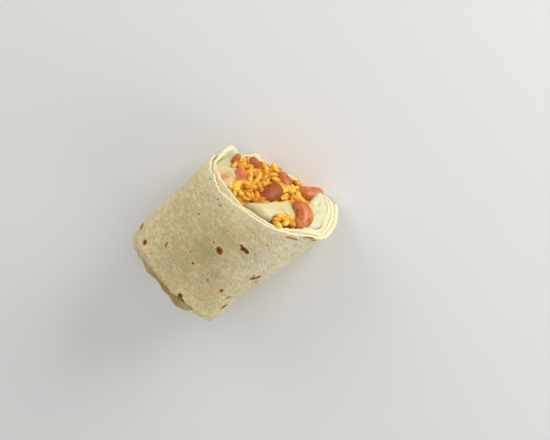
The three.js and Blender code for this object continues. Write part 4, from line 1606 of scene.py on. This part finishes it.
# %% Lay the floor
FLOOR_REACH = 3  # metres from the middle to each side
FLOOR_CORNERS = [(-1, -1, 0), (1, -1, 0), (1, 1, 0), (-1, 1, 0)]
floor_mesh = bpy.data.meshes.new("floor")
floor_mesh.from_pydata((FLOOR_REACH * np.array(FLOOR_CORNERS)).tolist(), [], [(0, 1, 2, 3)])
floor = bpy.data.objects.new("floor", floor_mesh)
bpy.context.scene.collection.objects.link(floor)
floor_material, floor_tree, floor_shader = new_material("floor")
set_sockets(floor_tree, floor_shader, {"Base Color": rgb(0.80, 0.80, 0.78), "Roughness": 0.8})
floor_mesh.materials.append(floor_material)

# %% Aim the camera
TILT, TWIST = np.radians(23), np.radians(40)
PIXEL = 0.54  # mm at the middle of the roll
PICTURE_WIDTH, PICTURE_HEIGHT = 550, 440
MIDDLE_PIXEL_X, MIDDLE_PIXEL_Y = 222, 235  # where the middle of the roll comes in the picture
DISTANCE = 900.0
SENSOR_WIDTH = 36
VIEW_RANGE = 20  # metres
axis_down = np.array([np.cos(TILT), 0, -np.sin(TILT)])
axis_side = np.array([0.0, 1, 0])
towards = np.array([np.sin(TILT), 0, np.cos(TILT)])
right = np.cos(TWIST) * axis_down - np.sin(TWIST) * axis_side
up = np.sin(TWIST) * axis_down + np.cos(TWIST) * axis_side
aside = PIXEL * (PICTURE_WIDTH / 2 - MIDDLE_PIXEL_X)
above = PIXEL * (MIDDLE_PIXEL_Y - PICTURE_HEIGHT / 2)
target = aside * right + above * up
eye = target + DISTANCE * towards
turn = Matrix(np.column_stack([right, up, towards]).tolist()).to_4x4()
lens = bpy.data.cameras.new("camera")
lens.sensor_width = SENSOR_WIDTH
lens.lens = SENSOR_WIDTH * DISTANCE / (PICTURE_WIDTH * PIXEL)
lens.clip_end = VIEW_RANGE
camera = bpy.data.objects.new("camera", lens)
camera.matrix_world = Matrix.Translation(Vector(to_part(eye))) @ turn
bpy.context.scene.collection.objects.link(camera)
bpy.context.scene.camera = camera
print("focal length:", round(lens.lens), "mm")

# %% [markdown]
# ## Light
#
# Three large soft lights, as on a table for food pictures. The strongest comes from the cut
# end's side, so that the filling is brighter than the roll. Two weak ones are low beside the
# roll, and lighten its edges.

# %% Hang the lights
ROOM_LIGHT = 0.45
# Each light: metres to the right of the roll, up the picture and towards the camera, then its
# width in metres and its power in watts.
LIGHTS = {
    "key": (0.74, 0.56, 0.66, 0.8, 13.3),
    "low_right": (0.8, -0.7, 0.5, 0.9, 4),
    "low_left": (-0.75, 0.75, 0.5, 0.9, 4),
}


def softbox(name, place, aim, width, power):
    """A round area light that points at aim."""
    light = bpy.data.lights.new(name, "AREA")
    light.shape = "DISK"
    light.size = width
    light.energy = power
    lamp = bpy.data.objects.new(name, light)
    direction = Vector(aim) - Vector(place)
    lamp.rotation_euler = direction.to_track_quat("-Z", "Y").to_euler()
    lamp.location = place
    bpy.context.scene.collection.objects.link(lamp)


middle = Vector(to_part([0, 0, 0]))
for name, (to_right, upwards, nearer, width, power) in LIGHTS.items():
    place = middle + Vector(to_right * right + upwards * up + nearer * towards)
    softbox(name, place, middle, width, power)
world = bpy.data.worlds.new("studio")
world.use_nodes = True
background = world.node_tree.nodes["Background"]
set_sockets(world.node_tree, background, {"Color": rgb(1, 1, 1), "Strength": ROOM_LIGHT})
bpy.context.scene.world = world
bpy.context.scene.view_settings.view_transform = "Standard"
print("lights:", ", ".join(LIGHTS))
